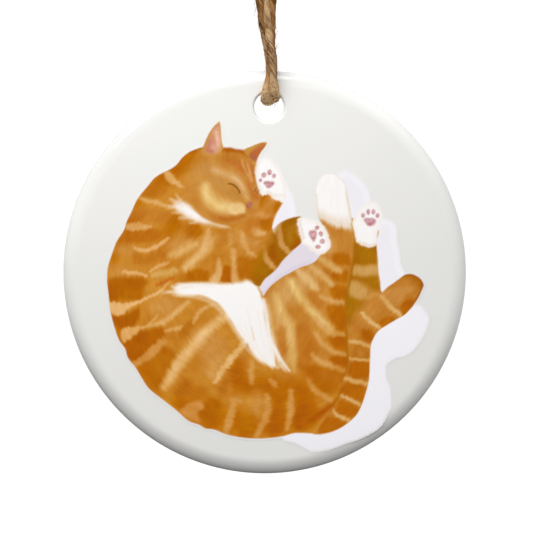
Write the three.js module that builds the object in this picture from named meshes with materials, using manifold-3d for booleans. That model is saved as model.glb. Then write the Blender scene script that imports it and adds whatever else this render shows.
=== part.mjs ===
// Round glazed ceramic hanging ornament with a picture fused into its front face, on a loop of jute twine.
// Millimetres, +Z up, front face towards -Y. The origin is where a hook holds the loop, just under its knot.
// Heights named *_z are measured from the disc's centre, which hangs HANG below the origin.
import * as THREE from 'three';
import { mergeVertices } from 'three/addons/utils/BufferGeometryUtils.js';
import Module from 'manifold-3d';

// ---- driving dimensions ----
const DISC_RADIUS = 36;
const DISC_THICKNESS = 3.6;
const RIM_ROUND = 2.7; // how far the rounded rim reaches in from the edge
const RIM_STEPS = 6;
const DISC_SEGMENTS = 72;

const HOLE_Z = 29.5;
const HOLE_RADIUS = 2.65;
const LIP_ROUND = 0.8; // rounding where the hole meets each face
const LIP_STEPS = 3;
const HOLE_SEGMENTS = 24;
const CUTTER_OVERSHOOT = 0.5;

const PRINT_THICKNESS = 0.06;
const PRINT_GAP = 0.01; // keeps the ink layer's solid off the glaze's

const HANG = 58.5; // from the hook down to the disc's centre
const TWINE_DIAMETER = 2;
const TWINE_SIDES = 8;
const TWINE_STEP = 1.6;
const BIGHT_X = 0.3;
const BIGHT_Z = 30.7; // the twine's centre where it passes through the hole
const BIGHT_BEND = 3.3; // bend radius round the disc's upper edge
const BIGHT_STEPS = 8;

const FOLD_Z = 41.5; // the twine bends fore and aft here
const FOLD_GAP = 1.1; // half the room left for that bend
const TWIST_Z = 46.5; // the loop twists above here
const TWIST_GAP = 0.3;
const KNOT_Z = 64.2;
const KNOT_SIZE = [3.9, 3.4, 3.8]; // half width, depth and height

// ---- materials ----
function material(color, roughness) {
  return new THREE.MeshStandardMaterial({ color, roughness, metalness: 0 });
}
const glaze = () => material(0xf4f3f0, 0.12);
const ink = () => material(0xc8823a, 0.15);
const jute = () => material(0xa5845c, 0.9);

// ---- solids ----
const wasm = await Module();
wasm.setup();

function toSolid(geometry) {
  const bare = geometry.clone();
  bare.deleteAttribute('normal');
  bare.deleteAttribute('uv');
  const merged = mergeVertices(bare, 1e-5);
  return new wasm.Manifold(
    new wasm.Mesh({
      numProp: 3,
      vertProperties: new Float32Array(merged.attributes.position.array),
      triVerts: new Uint32Array(merged.index.array),
    }),
  );
}

function toGeometry(solid) {
  const mesh = solid.getMesh();
  const geometry = new THREE.BufferGeometry();
  geometry.setAttribute('position', new THREE.BufferAttribute(mesh.vertProperties, 3));
  geometry.setIndex(new THREE.BufferAttribute(mesh.triVerts, 1));
  geometry.computeVertexNormals();
  return geometry;
}

function part(name, geometry, look) {
  const mesh = new THREE.Mesh(geometry, look);
  mesh.name = name;
  return mesh;
}

// A quarter turn of an ellipse, from angle 0 at its side to 90 degrees at its top.
function quarter(steps, place) {
  return Array.from({ length: steps + 1 }, (_, i) => place((i / steps) * (Math.PI / 2)));
}

// ---- ceramic disc: flat faces, a bullnose rim and a hole with rounded lips ----
function ceramicDisc() {
  const half = DISC_THICKNESS / 2;
  const flat = DISC_RADIUS - RIM_ROUND;
  const rim = quarter(RIM_STEPS, (a) => [flat + RIM_ROUND * Math.cos(a), half * Math.sin(a)]);
  const lower = rim.map(([r, h]) => new THREE.Vector2(r, -h)).reverse();
  const upper = rim.slice(1).map(([r, h]) => new THREE.Vector2(r, h));
  const profile = [new THREE.Vector2(0, -half), ...lower, ...upper, new THREE.Vector2(0, half)];
  const blank = new THREE.LatheGeometry(profile, DISC_SEGMENTS);

  const mouth = HOLE_RADIUS + LIP_ROUND;
  const lip = quarter(LIP_STEPS, (a) => [mouth - LIP_ROUND * Math.cos(a), half - LIP_ROUND + LIP_ROUND * Math.sin(a)]);
  const outer = half + CUTTER_OVERSHOOT;
  const cutterProfile = [
    new THREE.Vector2(0, -outer),
    new THREE.Vector2(mouth, -outer),
    ...lip.map(([r, h]) => new THREE.Vector2(r, -h)).reverse(),
    ...lip.map(([r, h]) => new THREE.Vector2(r, h)),
    new THREE.Vector2(mouth, outer),
    new THREE.Vector2(0, outer),
  ];
  const cutter = new THREE.LatheGeometry(cutterProfile, HOLE_SEGMENTS);
  // A lathe turns about the Y axis, which runs through the disc's faces, so neither solid needs turning.
  cutter.translate(0, 0, HOLE_Z);
  return toGeometry(toSolid(blank).subtract(toSolid(cutter)));
}

// ---- printed picture: the outline of a curled-up cat with its soft shadow ----
// Points run clockwise from the left ear, as [x, height].
const PICTURE_OUTLINE = [
  [-11.8, 22], [-10.6, 24.6], [-8.7, 26.7], [-8.4, 24.2], [-8, 22.1], [-4.6, 21.8],
  [-2.6, 22.6], [-0.1, 23.2], [-1.3, 21], [0.2, 20.5], [2.2, 18.6], [3.6, 14.5],
  [4.8, 13.4], [5.4, 10.4], [7.4, 10.3], [9, 10.6], [8.7, 15], [10.6, 17.9],
  [13.8, 18.6], [17, 16.7], [18.6, 13.3], [20.4, 11.9], [21, 10], [23.3, 8.8],
  [23.4, 5.5], [24.9, 0.5], [27.2, 0], [28.5, -2.2], [27.9, -4.4], [29.5, -7.2],
  [28.6, -11], [26, -14], [22.4, -16], [22, -18.4], [23, -22.8], [20.8, -27.1],
  [15, -30.7], [9.1, -31.7], [4.5, -29.6], [-1.1, -29.8], [-8, -28.7], [-12.8, -26.6],
  [-16.6, -23.7], [-21.4, -20.7], [-24.5, -16.3], [-26.9, -9.5], [-28.1, -3], [-27.4, 2.2],
  [-25, 7.8], [-23.6, 11.6], [-20, 16.4], [-17.2, 18], [-14.6, 20.4],
];
const OUTLINE_SAMPLES = 2;

function catPrint() {
  const points = PICTURE_OUTLINE.map(([x, z]) => new THREE.Vector3(x, z, 0));
  const curve = new THREE.CatmullRomCurve3(points, true, 'centripetal');
  const outline = curve.getPoints(points.length * OUTLINE_SAMPLES).slice(1);
  const shape = new THREE.Shape(outline.map((p) => new THREE.Vector2(p.x, p.y)));
  const film = new THREE.ExtrudeGeometry(shape, { depth: PRINT_THICKNESS, bevelEnabled: false });
  film.rotateX(Math.PI / 2);
  film.translate(0, -DISC_THICKNESS / 2 - PRINT_GAP, 0);
  return film;
}

// ---- twine: one length, from a tail through the knot, down, through the hole and back up ----
// Each strand runs from the knot down to where the bight starts, as [x, y, height].
const FRONT_STRAND = [
  [1.15, -0.3, 60], [2, -0.4, 57], [1.4, -0.6, 54], [0.4, -0.9, 51], [-0.25, -1.1, 48],
  [-0.25, -1.2, 45], [-0.1, -1.35, 42.5], [0.05, -2, 40], [0.2, -3, 37.8], [0.3, -3.3, 35.8],
];
const BACK_STRAND = [
  [-1.2, 0.3, 60], [-2.8, 0.4, 57], [-3.1, 0.5, 54], [-2.7, 0.7, 51], [-2.15, 0.9, 48],
  [-1.75, 1.1, 45], [-1.2, 1.35, 42.5], [-0.5, 2, 40], [0.1, 3, 37.8], [0.3, 3.3, 35.8],
];
const FRONT_TAIL = [[1.1, -0.3, 68.4], [1.6, -0.3, 70.8], [2.6, -0.3, 73.7], [3.8, 0, 76.6]];
const BACK_TAIL = [[-1.1, 0.3, 68.4], [-1.8, 0.3, 70.5], [-3.2, 0.2, 73], [-5.1, -0.2, 75.3]];

function curveThrough(points) {
  return new THREE.CatmullRomCurve3(points.map((p) => new THREE.Vector3(...p)), false, 'centripetal');
}

// Twine solid along a curve, octagonal in section.
function twine(curve) {
  const section = new THREE.Shape();
  for (let i = 0; i < TWINE_SIDES; i += 1) {
    const angle = (i / TWINE_SIDES) * 2 * Math.PI;
    const at = [(TWINE_DIAMETER / 2) * Math.cos(angle), (TWINE_DIAMETER / 2) * Math.sin(angle)];
    if (i === 0) section.moveTo(...at);
    else section.lineTo(...at);
  }
  const steps = Math.max(2, Math.round(curve.getLength() / TWINE_STEP));
  return new THREE.ExtrudeGeometry(section, { steps, extrudePath: curve, bevelEnabled: false });
}

// The stretch of a strand between two heights; strands only ever go down.
function stretch(strand, top, bottom) {
  const points = curveThrough(strand)
    .getSpacedPoints(200)
    .filter((p) => p.z <= top && p.z >= bottom);
  const every = Math.max(1, Math.floor(points.length / 8));
  const kept = points.filter((_, i) => i % every === 0 && i < points.length - every / 2);
  return [...kept, points[points.length - 1]].map((p) => [p.x, p.y, p.z]);
}

// The half turn round the disc's upper edge, from the front strand to the back one.
function bightArc() {
  const centre = BIGHT_Z + BIGHT_BEND;
  return Array.from({ length: BIGHT_STEPS + 1 }, (_, i) => {
    const a = (i / BIGHT_STEPS) * Math.PI;
    return [BIGHT_X, -BIGHT_BEND * Math.cos(a), centre - BIGHT_BEND * Math.sin(a)];
  });
}

function twineBight() {
  const top = FOLD_Z - FOLD_GAP;
  const down = stretch(FRONT_STRAND, top, -Infinity);
  const up = stretch(BACK_STRAND, top, -Infinity).reverse();
  return twine(curveThrough([...down, ...bightArc(), ...up]));
}

function twineMid(strand) {
  return twine(curveThrough(stretch(strand, TWIST_Z - TWIST_GAP, FOLD_Z + FOLD_GAP)));
}

function twineUpper(strand) {
  return twine(curveThrough(stretch(strand, Infinity, TWIST_Z + TWIST_GAP)));
}

// The overhand knot's outer shape.
function twineKnot() {
  const lump = new THREE.SphereGeometry(1, 20, 12);
  lump.rotateX(Math.PI / 2);
  lump.scale(...KNOT_SIZE);
  lump.translate(0, 0, KNOT_Z);
  return lump;
}

// ---- assembly ----
const ornament = new THREE.Group();
ornament.position.z = -HANG;
ornament.add(
  part('ceramic_disc', ceramicDisc(), glaze()),
  part('cat_print', catPrint(), ink()),
  part('twine_bight', twineBight(), jute()),
  part('twine_front_mid', twineMid(FRONT_STRAND), jute()),
  part('twine_back_mid', twineMid(BACK_STRAND), jute()),
  part('twine_front_upper', twineUpper(FRONT_STRAND), jute()),
  part('twine_back_upper', twineUpper(BACK_STRAND), jute()),
  part('twine_knot', twineKnot(), jute()),
  part('twine_front_tail', twine(curveThrough(FRONT_TAIL)), jute()),
  part('twine_back_tail', twine(curveThrough(BACK_TAIL)), jute()),
);

export default ornament;
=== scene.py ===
# A round glazed ceramic ornament with a picture of a curled-up cat, hanging on a knotted loop of jute twine.
# Shapes are worked out in millimetres from the disc's centre, with x to the right, y to the back and z up,
# and are moved into the frame, in metres, when their meshes are made.

import math

import bpy
import numpy as np
from mathutils import Matrix, Vector


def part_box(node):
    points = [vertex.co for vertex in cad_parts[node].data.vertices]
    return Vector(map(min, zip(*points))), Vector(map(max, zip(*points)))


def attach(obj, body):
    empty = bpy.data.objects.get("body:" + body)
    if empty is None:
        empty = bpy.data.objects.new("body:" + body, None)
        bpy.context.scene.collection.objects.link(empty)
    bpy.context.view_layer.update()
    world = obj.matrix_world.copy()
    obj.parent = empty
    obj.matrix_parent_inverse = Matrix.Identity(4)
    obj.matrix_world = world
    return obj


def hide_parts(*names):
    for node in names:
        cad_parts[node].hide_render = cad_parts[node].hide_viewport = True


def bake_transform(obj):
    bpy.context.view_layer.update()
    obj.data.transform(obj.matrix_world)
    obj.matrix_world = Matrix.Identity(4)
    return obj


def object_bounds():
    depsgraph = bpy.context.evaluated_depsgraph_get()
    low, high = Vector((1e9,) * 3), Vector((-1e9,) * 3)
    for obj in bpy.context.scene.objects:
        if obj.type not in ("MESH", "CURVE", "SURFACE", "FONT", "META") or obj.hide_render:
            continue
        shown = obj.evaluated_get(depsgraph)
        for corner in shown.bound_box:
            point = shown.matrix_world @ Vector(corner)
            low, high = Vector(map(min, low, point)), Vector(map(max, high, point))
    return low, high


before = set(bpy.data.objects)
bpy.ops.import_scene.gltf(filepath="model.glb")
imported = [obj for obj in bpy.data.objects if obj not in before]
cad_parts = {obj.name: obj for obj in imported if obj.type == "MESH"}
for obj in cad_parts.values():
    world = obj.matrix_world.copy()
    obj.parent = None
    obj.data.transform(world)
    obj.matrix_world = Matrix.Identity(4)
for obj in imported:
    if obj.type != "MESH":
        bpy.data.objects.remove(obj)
CAD_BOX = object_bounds()

MM = 0.001
DISC_LOW, DISC_HIGH = (np.array(corner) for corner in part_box("ceramic_disc"))
DISC_CENTRE = (DISC_LOW + DISC_HIGH) / 2
DISC_RADIUS = (DISC_HIGH[0] - DISC_LOW[0]) / 2 / MM
HALF_THICK = (DISC_HIGH[1] - DISC_LOW[1]) / 2 / MM
RANDOM = np.random.RandomState(7)


def to_frame(points):
    """Millimetres from the disc's centre to metres in the frame."""
    return np.asarray(points, float) * MM + DISC_CENTRE


def place(x, y, z):
    return tuple(to_frame((x, y, z)))


def make_piece(name, points, faces, look):
    """A smooth mesh object from points in millimetres and faces of point numbers."""
    mesh = bpy.data.meshes.new(name)
    mesh.from_pydata(to_frame(points), [], faces)
    mesh.materials.append(look)
    mesh.polygons.foreach_set("use_smooth", [True] * len(mesh.polygons))
    piece = bpy.data.objects.new(name, mesh)
    bpy.context.scene.collection.objects.link(piece)
    return piece


def store(piece, name, kind, values):
    """Keeps one value for each point of a piece, for its material to read."""
    layer = piece.data.attributes.new(name, kind, "POINT")
    key = {"FLOAT": "value", "FLOAT_VECTOR": "vector", "FLOAT_COLOR": "color"}[kind]
    layer.data.foreach_set(key, np.ascontiguousarray(values, dtype=np.float32).ravel())


def smooth(points, step=0.4, loop=False):
    """A centripetal Catmull-Rom curve through the points, as a fine polyline."""
    p = np.asarray(points, float)
    if len(p) < 3:
        count = max(2, int(np.linalg.norm(p[-1] - p[0]) / step) + 1)
        return p[0] + (p[-1] - p[0]) * np.linspace(0, 1, count)[:, None]
    ends = (p[-1], p[:2]) if loop else (2 * p[0] - p[1], 2 * p[-1] - p[-2])
    p = np.vstack([ends[0], p, ends[1]])
    knots = np.concatenate([[0], np.cumsum(np.linalg.norm(np.diff(p, axis=0), axis=1) ** 0.5)])
    out = []
    for i in range(1, len(p) - 2):
        t0, t1, t2, t3 = knots[i - 1 : i + 3]
        count = max(1, int(np.ceil(np.linalg.norm(p[i + 1] - p[i]) / step)))
        t = (t1 + (t2 - t1) * np.arange(count) / count)[:, None]
        a1 = ((t1 - t) * p[i - 1] + (t - t0) * p[i]) / (t1 - t0)
        a2 = ((t2 - t) * p[i] + (t - t1) * p[i + 1]) / (t2 - t1)
        a3 = ((t3 - t) * p[i + 1] + (t - t2) * p[i + 2]) / (t3 - t2)
        b1 = ((t2 - t) * a1 + (t - t0) * a2) / (t2 - t0)
        b2 = ((t3 - t) * a2 + (t - t1) * a3) / (t3 - t1)
        out.append(((t2 - t) * b1 + (t - t1) * b2) / (t2 - t1))
    return np.vstack(out if loop else [*out, p[-2:-1]])


def evenly(line, step):
    """The same polyline with its points a steady step apart."""
    reach = np.concatenate([[0], np.cumsum(np.linalg.norm(np.diff(line, axis=0), axis=1))])
    at = np.linspace(0, reach[-1], max(2, round(reach[-1] / step) + 1))
    return np.stack([np.interp(at, reach, column) for column in line.T], 1)


# ---- the picture: painted in millimetres on the disc's face, x to the right and z up from its centre ----
# Colours are screen values from 0 to 255, as a painter would pick them; they become linear at the end.
WHITE_FUR = (252, 249, 247)
FAR_OFF = 1.5  # distances to an outline are only worked out this near to it
STROKE_TAPER = 0.35  # how much narrower a brush stroke is at its ends

NOISE = np.random.RandomState(11).rand(256, 256)


def noise(u, v):
    """Smooth value noise from 0 to 1 with one lump per unit."""
    iu, iv = np.floor(u).astype(int), np.floor(v).astype(int)
    fu, fv = u - iu, v - iv
    fu, fv = fu * fu * (3 - 2 * fu), fv * fv * (3 - 2 * fv)
    a, b = NOISE[iu % 256, iv % 256], NOISE[(iu + 1) % 256, iv % 256]
    c, d = NOISE[iu % 256, (iv + 1) % 256], NOISE[(iu + 1) % 256, (iv + 1) % 256]
    return (a * (1 - fu) + b * fu) * (1 - fv) + (c * (1 - fu) + d * fu) * fv


def closed(*arcs):
    """An outline from smooth arcs that meet at corners; one arc alone closes smoothly."""
    if len(arcs) == 1:
        return smooth(arcs[0], loop=True)
    joined = []
    for arc, following in zip(arcs, [*arcs[1:], arcs[0]]):
        reach = arc if arc[-1] == following[0] else [*arc, following[0]]
        joined.append(smooth(reach)[:-1])
    return np.vstack(joined)


def nearest(line, x, z):
    """Each point's distance to the polyline, and the nearest spot's arc length, side and direction."""
    a, d = line[:-1], np.diff(line, axis=0)
    size = np.maximum(np.hypot(*d.T), 1e-9)
    start = np.concatenate([[0], np.cumsum(size)[:-1]])
    best = np.full(len(x), 1e9)
    along, side, pick = np.zeros(len(x)), np.zeros(len(x)), np.zeros(len(x), int)
    for i in range(len(a)):
        px, pz = x - a[i, 0], z - a[i, 1]
        t = np.clip((px * d[i, 0] + pz * d[i, 1]) / size[i] ** 2, 0, 1)
        off = np.hypot(px - t * d[i, 0], pz - t * d[i, 1])
        closer = off < best
        best[closer] = off[closer]
        along[closer] = (start[i] + t * size[i])[closer]
        side[closer] = (d[i, 0] * pz - d[i, 1] * px)[closer]
        pick[closer] = i
    return best, along, np.where(side < 0, -1.0, 1.0), (d / size[:, None])[pick]


def inside(outline, x, z):
    """Signed distance to a closed outline, negative inside; far away it only says outside."""
    signed = np.full(len(x), FAR_OFF)
    lo, hi = outline.min(0) - FAR_OFF, outline.max(0) + FAR_OFF
    near = np.where((x > lo[0]) & (x < hi[0]) & (z > lo[1]) & (z < hi[1]))[0]
    px, pz = x[near], z[near]
    ends = np.roll(outline, -1, axis=0)
    best, odd = np.full(len(near), FAR_OFF**2), np.zeros(len(near), bool)
    for (ax, az), (bx, bz) in zip(outline, ends):
        dx, dz = bx - ax, bz - az
        t = np.clip(((px - ax) * dx + (pz - az) * dz) / max(dx * dx + dz * dz, 1e-12), 0, 1)
        best = np.minimum(best, (px - ax - t * dx) ** 2 + (pz - az - t * dz) ** 2)
        if az != bz:
            odd ^= ((az > pz) != (bz > pz)) & (px < ax + (pz - az) * dx / dz)
    signed[near] = np.sqrt(best) * np.where(odd, -1, 1)
    return signed


def ease(t):
    """A smooth step: 0 up to t = 0, 1 from t = 1."""
    t = np.clip(t, 0, 1)
    return t * t * (3 - 2 * t)


class Canvas:
    """Points on the disc's face with a colour each, and the lie of the fur under the brush."""

    def __init__(self, x, z):
        self.x, self.z = x, z
        self.rgb = np.tile(np.array(WHITE_FUR, float), (len(x), 1))
        self.cover = np.zeros(len(x))
        self.fur = np.zeros((len(x), 2))
        self.lying = np.zeros((len(x), 2))
        self.mask = np.ones(len(x))
        self.grain = np.ones(len(x))
        self.reach = np.full(len(x), FAR_OFF)
        self.shift = np.zeros((len(x), 2))

    def lie(self, spine, ragged=0.35):
        """Fur lies along this line; edges painted from here on get ragged along it."""
        away, along, side, way = nearest(smooth(spine, 0.8), self.x, self.z)
        off = away * side
        self.lying = np.stack([along, off], 1)
        locks, hairs = noise(along / 2.2 + 7, off / 0.42 + 40), noise(along / 1.1 + 90, off / 0.2)
        wave = (locks + 0.5 * hairs) / 0.75 - 1
        self.shift = wave[:, None] * way * ragged

    def everywhere(self):
        """Later strokes may fall on all that is painted so far."""
        self.mask = self.cover.copy()

    def shape(self, outline, colour, soft=0.12, ragged=0.3, fade=1.0):
        """Fills an outline, and makes it the mask that later strokes stay inside; fade thins parts of it."""
        dist = inside(outline, self.x + self.shift[:, 0] * ragged, self.z + self.shift[:, 1] * ragged)
        self.mask = ease(0.5 - dist / (2 * soft)) * fade
        self.edge = dist
        self.reach = np.minimum(self.reach, dist)
        self.put(self.mask, colour)
        self.cover = np.maximum(self.cover, self.mask)
        over = self.mask > 0.5
        self.fur[over] = self.lying[over]
        self.grain = np.where(over, 1, self.grain) * np.abs(2 * self.mask - 1)

    def put(self, alpha, colour):
        """Mixes a colour in, by an amount from 0 to 1 for each point."""
        some = alpha > 0
        self.rgb[some] += alpha[some, None] * (np.array(colour, float) - self.rgb[some])

    def stroke(self, points, colour, width, soft, strength):
        """A brush stroke: soft-edged, full width in its middle and narrower at its ends."""
        line = smooth(points, 0.5)
        reach = width / 2 + soft + 0.8
        lo, hi = line.min(0) - reach, line.max(0) + reach
        near = (self.x > lo[0]) & (self.x < hi[0]) & (self.z > lo[1]) & (self.z < hi[1])
        i = np.where(near & (self.mask > 0))[0]
        if len(i) == 0:
            return
        dist, along, _, _ = nearest(line, self.x[i] + self.shift[i, 0], self.z[i] + self.shift[i, 1])
        t = along / np.linalg.norm(np.diff(line, axis=0), axis=1).sum()
        fat = 1 - STROKE_TAPER * (2 * t - 1) ** 2
        alpha = ease(0.5 - (dist - width / 2 * fat) / (2 * soft)) * strength * self.mask[i]
        self.rgb[i] += alpha[:, None] * (np.array(colour, float) - self.rgb[i])

    def patch(self, points, colour, soft=0.5, strength=1.0, ragged=1.0):
        """A soft-edged filled shape."""
        x, z = self.x + self.shift[:, 0] * ragged, self.z + self.shift[:, 1] * ragged
        dist = inside(smooth(points, 0.5, loop=True), x, z)
        self.put(ease(0.5 - dist / (2 * soft)) * strength * self.mask, colour)

    def rim(self, colour, width=0.5, strength=0.6, inner=0.5):
        """A soft line just inside the current shape's edge."""
        self.put(self.mask * strength * ease(1 - np.abs(self.edge + width / 2) / (width / 2 + inner)), colour)


# ---- camera: straight at the disc's face, rolled a little, as the disc hangs a little turned ----
VIEW_WIDTH = 95.1
VIEW_CENTRE = (0.3, -HALF_THICK, 1.0)
VIEW_ROLL = math.radians(1.5)
CAMERA_DISTANCE = 750
CAMERA_CLIP = (0.01, 50)  # metres


def add_camera():
    data = bpy.data.cameras.new("camera")
    data.lens = data.sensor_width * CAMERA_DISTANCE / VIEW_WIDTH
    data.clip_start, data.clip_end = CAMERA_CLIP
    camera = bpy.data.objects.new("camera", data)
    right = Vector((math.cos(VIEW_ROLL), 0, math.sin(VIEW_ROLL)))
    up = Vector((-math.sin(VIEW_ROLL), 0, math.cos(VIEW_ROLL)))
    back = Vector((0, -1, 0))
    turned = Matrix((right, up, back)).transposed().to_4x4()
    spot = Vector(place(*VIEW_CENTRE)) + back * CAMERA_DISTANCE * MM
    camera.matrix_world = Matrix.Translation(spot) @ turned
    bpy.context.scene.collection.objects.link(camera)
    bpy.context.scene.camera = camera


# ---- twine: one two-ply cord, from its back tail through the knot, round the disc's edge and back ----
TWINE = 2.0
KNOT_Z = 64.2
TWIST_Z = 46.5  # the loop twists here, and the stretch up to the next height shares the turn
TWIST_TOP_Z = 57
BIGHT_X = 0.3
BIGHT_Z = 30.7
BIGHT_BEND = 3.3
FRONT_STRAND = [
    (1.15, -0.3, 60), (2, -0.4, 57), (1.4, -0.6, 54), (0.4, -0.9, 51), (-0.25, -1.1, 48),
    (-0.25, -1.2, 45), (-0.1, -1.35, 42.5), (0.05, -2, 40), (0.2, -3, 37.8), (0.3, -3.3, 35.8),
]
BACK_STRAND = [
    (-1.2, 0.3, 60), (-2.8, 0.4, 57), (-3.1, 0.5, 54), (-2.6, 0.7, 51), (-2.05, 0.9, 48),
    (-1.5, 1.2, 45), (-0.8, 1.5, 42.5), (-0.15, 2.1, 40), (0.2, 3, 37.8), (0.3, 3.3, 35.8),
]
FRONT_TAIL = [(1.1, -0.3, 68.4), (1.6, -0.3, 70.8), (2.6, -0.3, 73.7), (3.8, 0, 76.6)]
BACK_TAIL = [(-1.1, 0.3, 68.4), (-1.8, 0.3, 70.5), (-3.2, 0.2, 73), (-5.1, -0.2, 75.3)]
# The overhand knot that both strands make together, from the knot's middle, going up.
KNOT_PATH = [
    (0, 0, -4.6), (0.2, 0.6, -3.2), (0, 1.3, -1), (-1.2, 1.2, 1.6), (-2.3, 0, 2.3), (-1.2, -1.8, 1.5),
    (0.8, -2.2, -0.2), (2.4, -1, -1.6), (2, 1.2, -2.1), (0.2, 2.3, -1.9), (-2, 1.2, -1.6), (-2.4, -0.6, -0.8),
    (-0.9, -0.7, 0.4), (0.8, -0.2, 1.8), (0.6, 0, 3.4), (0.2, 0, 4.6),
]
STRAND_GAP = 1.08  # half the distance between the two strands in the knot
KNOT_ROUNDS = 260  # the strands are pushed apart and eased this many times
KNOT_PUSH = 0.12
KNOT_EASE = 0.22
KNOT_CLEAR = TWINE * 1.02
KNOT_NEAR = 6  # points of one strand this close in number don't push each other
ENTRY_PASSES = 14  # these ease the small corners where the strands enter the knot
CORD_STEP = 0.14
PLY_PITCH = 30.0
PLY_OFFSET = 0.38
PLY_RADIUS = 0.7
PLY_SIDES = 22
EDGE_ON_Z = 39.6  # where the front strand's two plies stand one behind the other
FIBRE_PITCH = 9.0  # a ply's own fibres turn once over this length
# How far a ply's surface stands out and in, as parts of its radius.
RIDGE_DEPTH = 0.2
FINE_DEPTH = 0.12
LUMP_DEPTH = 0.14
CRUMB_DEPTH = 0.3
# The crumpled fold in the hole: where it ends, how it fades, and how much wider and further left it is.
HOLE_FOLD_TOP = 35.5
HOLE_FOLD_FADE = 4.8
HOLE_FOLD_WIDER = 0.64
HOLE_FOLD_LEFT = 0.14
# Heights of the dark streaks on the back strand and on the front one, and how dark the front ones are.
BACK_STAIN_LOW = 41
FRONT_STAIN_LOW = 36.4
FRONT_STAIN_TOP = 42
FRONT_STAIN = 0.8
# Loose fibres: how many, their greatest length, their thickness at the root, and how far out they start.
LOWER_HAIRS = 380
UPPER_HAIRS = 200
HAIR_LONGEST = 3.0
HAIR_ROOT = 0.04
HAIR_START = (0.55, 0.85)
HAIR_CURL = 0.16
HAIR_MARGIN = 8  # no fibre starts this few points from a stretch's end


def bight_arc():
    """The half circle that the cord makes round the disc's edge in the hole, back to front."""
    turn = np.linspace(0, math.pi, 9)
    middle = BIGHT_Z + BIGHT_BEND
    flat = np.full(len(turn), BIGHT_X)
    return np.stack([flat, BIGHT_BEND * np.cos(turn), middle - BIGHT_BEND * np.sin(turn)], 1)


def tangents(line):
    """The line's direction at each of its points."""
    way = np.gradient(line, axis=0)
    return way / np.linalg.norm(way, axis=1)[:, None]


def carried_frame(line, first):
    """A direction across the line at each point, carried along it without twisting."""
    way = tangents(line)
    across = np.zeros_like(line)
    carried = np.array(first, float)
    for i in range(len(line)):
        carried = carried - way[i] * (carried @ way[i])
        carried = carried / np.linalg.norm(carried)
        across[i] = carried
    return across, np.cross(way, across)


def knotted_strands():
    """The two strands' way through the knot, side by side and pushed clear of each other."""
    middle = evenly(smooth(KNOT_PATH, 0.2), 0.5)
    across, other = carried_frame(middle, (1.0, 0, 0))
    left = math.atan2(other[-1][0], across[-1][0])
    twist = np.linspace(0, left, len(middle))[:, None]
    offset = (across * np.cos(twist) + other * np.sin(twist)) * STRAND_GAP
    strands = np.stack([middle + offset, middle - offset])
    ends = strands[:, [0, -1]].copy()
    number = np.arange(len(middle))
    same = np.abs(number[:, None] - number[None]) < KNOT_NEAR
    ignore = np.kron(np.eye(2, dtype=bool), same)
    for _ in range(KNOT_ROUNDS):
        flat = strands.reshape(-1, 3)
        gap = flat[:, None] - flat[None]
        far = np.linalg.norm(gap, axis=2) + 1e-9
        push = np.clip(KNOT_CLEAR - far, 0, None) * ~ignore
        flat = flat + (gap / far[..., None] * push[..., None]).sum(1) * KNOT_PUSH
        strands = flat.reshape(strands.shape)
        strands[:, 1:-1] += KNOT_EASE * (strands[:, :-2] + strands[:, 2:] - 2 * strands[:, 1:-1])
        strands[:, [0, -1]] = ends
    return strands + (0, 0, KNOT_Z)


def twine_line():
    """The whole cord's centreline, back tail first, in even steps."""
    front, back = knotted_strands()
    coarse = slice(2, -2, 2)
    route = [
        *BACK_TAIL[::-1], *back[coarse][::-1], *BACK_STRAND, *bight_arc()[1:-1],
        *FRONT_STRAND[::-1], *front[coarse], *FRONT_TAIL,
    ]
    line = evenly(smooth(route, 0.1), CORD_STEP)
    for _ in range(ENTRY_PASSES):
        middle = (line[:-2] + line[2:]) / 2
        line[1:-1] += 0.5 * (middle - line[1:-1]) * (line[1:-1, 2:] > TWIST_TOP_Z)
    return line


LINE = twine_line()
LINE_LENGTH = np.arange(len(LINE)) * CORD_STEP
LINE_ACROSS, LINE_OTHER = carried_frame(LINE, (0, 1.0, 0))
BELOW_TWIST = np.where(LINE[:, 2] < TWIST_Z)[0]
CUTS = (BELOW_TWIST[0], BELOW_TWIST[-1])  # where the loop's lower cord starts and ends
FRONT_LOW = [i for i in BELOW_TWIST if LINE[i, 1] < 0]
EDGE_ON = min(FRONT_LOW, key=lambda i: abs(LINE[i, 2] - EDGE_ON_Z))
PLY_START = math.atan2(-LINE_ACROSS[EDGE_ON, 0], LINE_OTHER[EDGE_ON, 0])
PLY_START += 2 * math.pi * LINE_LENGTH[EDGE_ON] / PLY_PITCH


def tube(rings):
    """Points and faces of a closed tube from rings of equal length, with a flat cap at each end."""
    count, sides = rings.shape[:2]
    points = rings.reshape(-1, 3)
    i, j = np.meshgrid(np.arange(count - 1), np.arange(sides), indexing="ij")
    k = (j + 1) % sides
    ring, above = i * sides, (i + 1) * sides
    quads = np.stack([ring + j, ring + k, above + k, above + j], -1).reshape(-1, 4)
    caps = [list(range(sides))[::-1], list(range((count - 1) * sides, count * sides))]
    return points, [*quads.tolist(), *caps]


def hole_weight(z, y):
    """1 where the cord folds into the hole at the front, fading to 0 above."""
    low = ease((HOLE_FOLD_TOP - z) / HOLE_FOLD_FADE)
    fore = ease((1.2 - y) / 1.5)
    return low * fore


def stain(z, y, side):
    """Dark streaks: on the outer side of the back strand, and where the front strand is narrow."""
    back = ease((z - BACK_STAIN_LOW) / 2) * ease((y + 0.2) / 0.6) * ease((0.2 - side) / 0.8)
    front = ease((z - FRONT_STAIN_LOW) / 1) * ease((FRONT_STAIN_TOP - z) / 1.2) * ease((-y - 0.3) / 0.6)
    return np.maximum(back, FRONT_STAIN * front)


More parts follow.
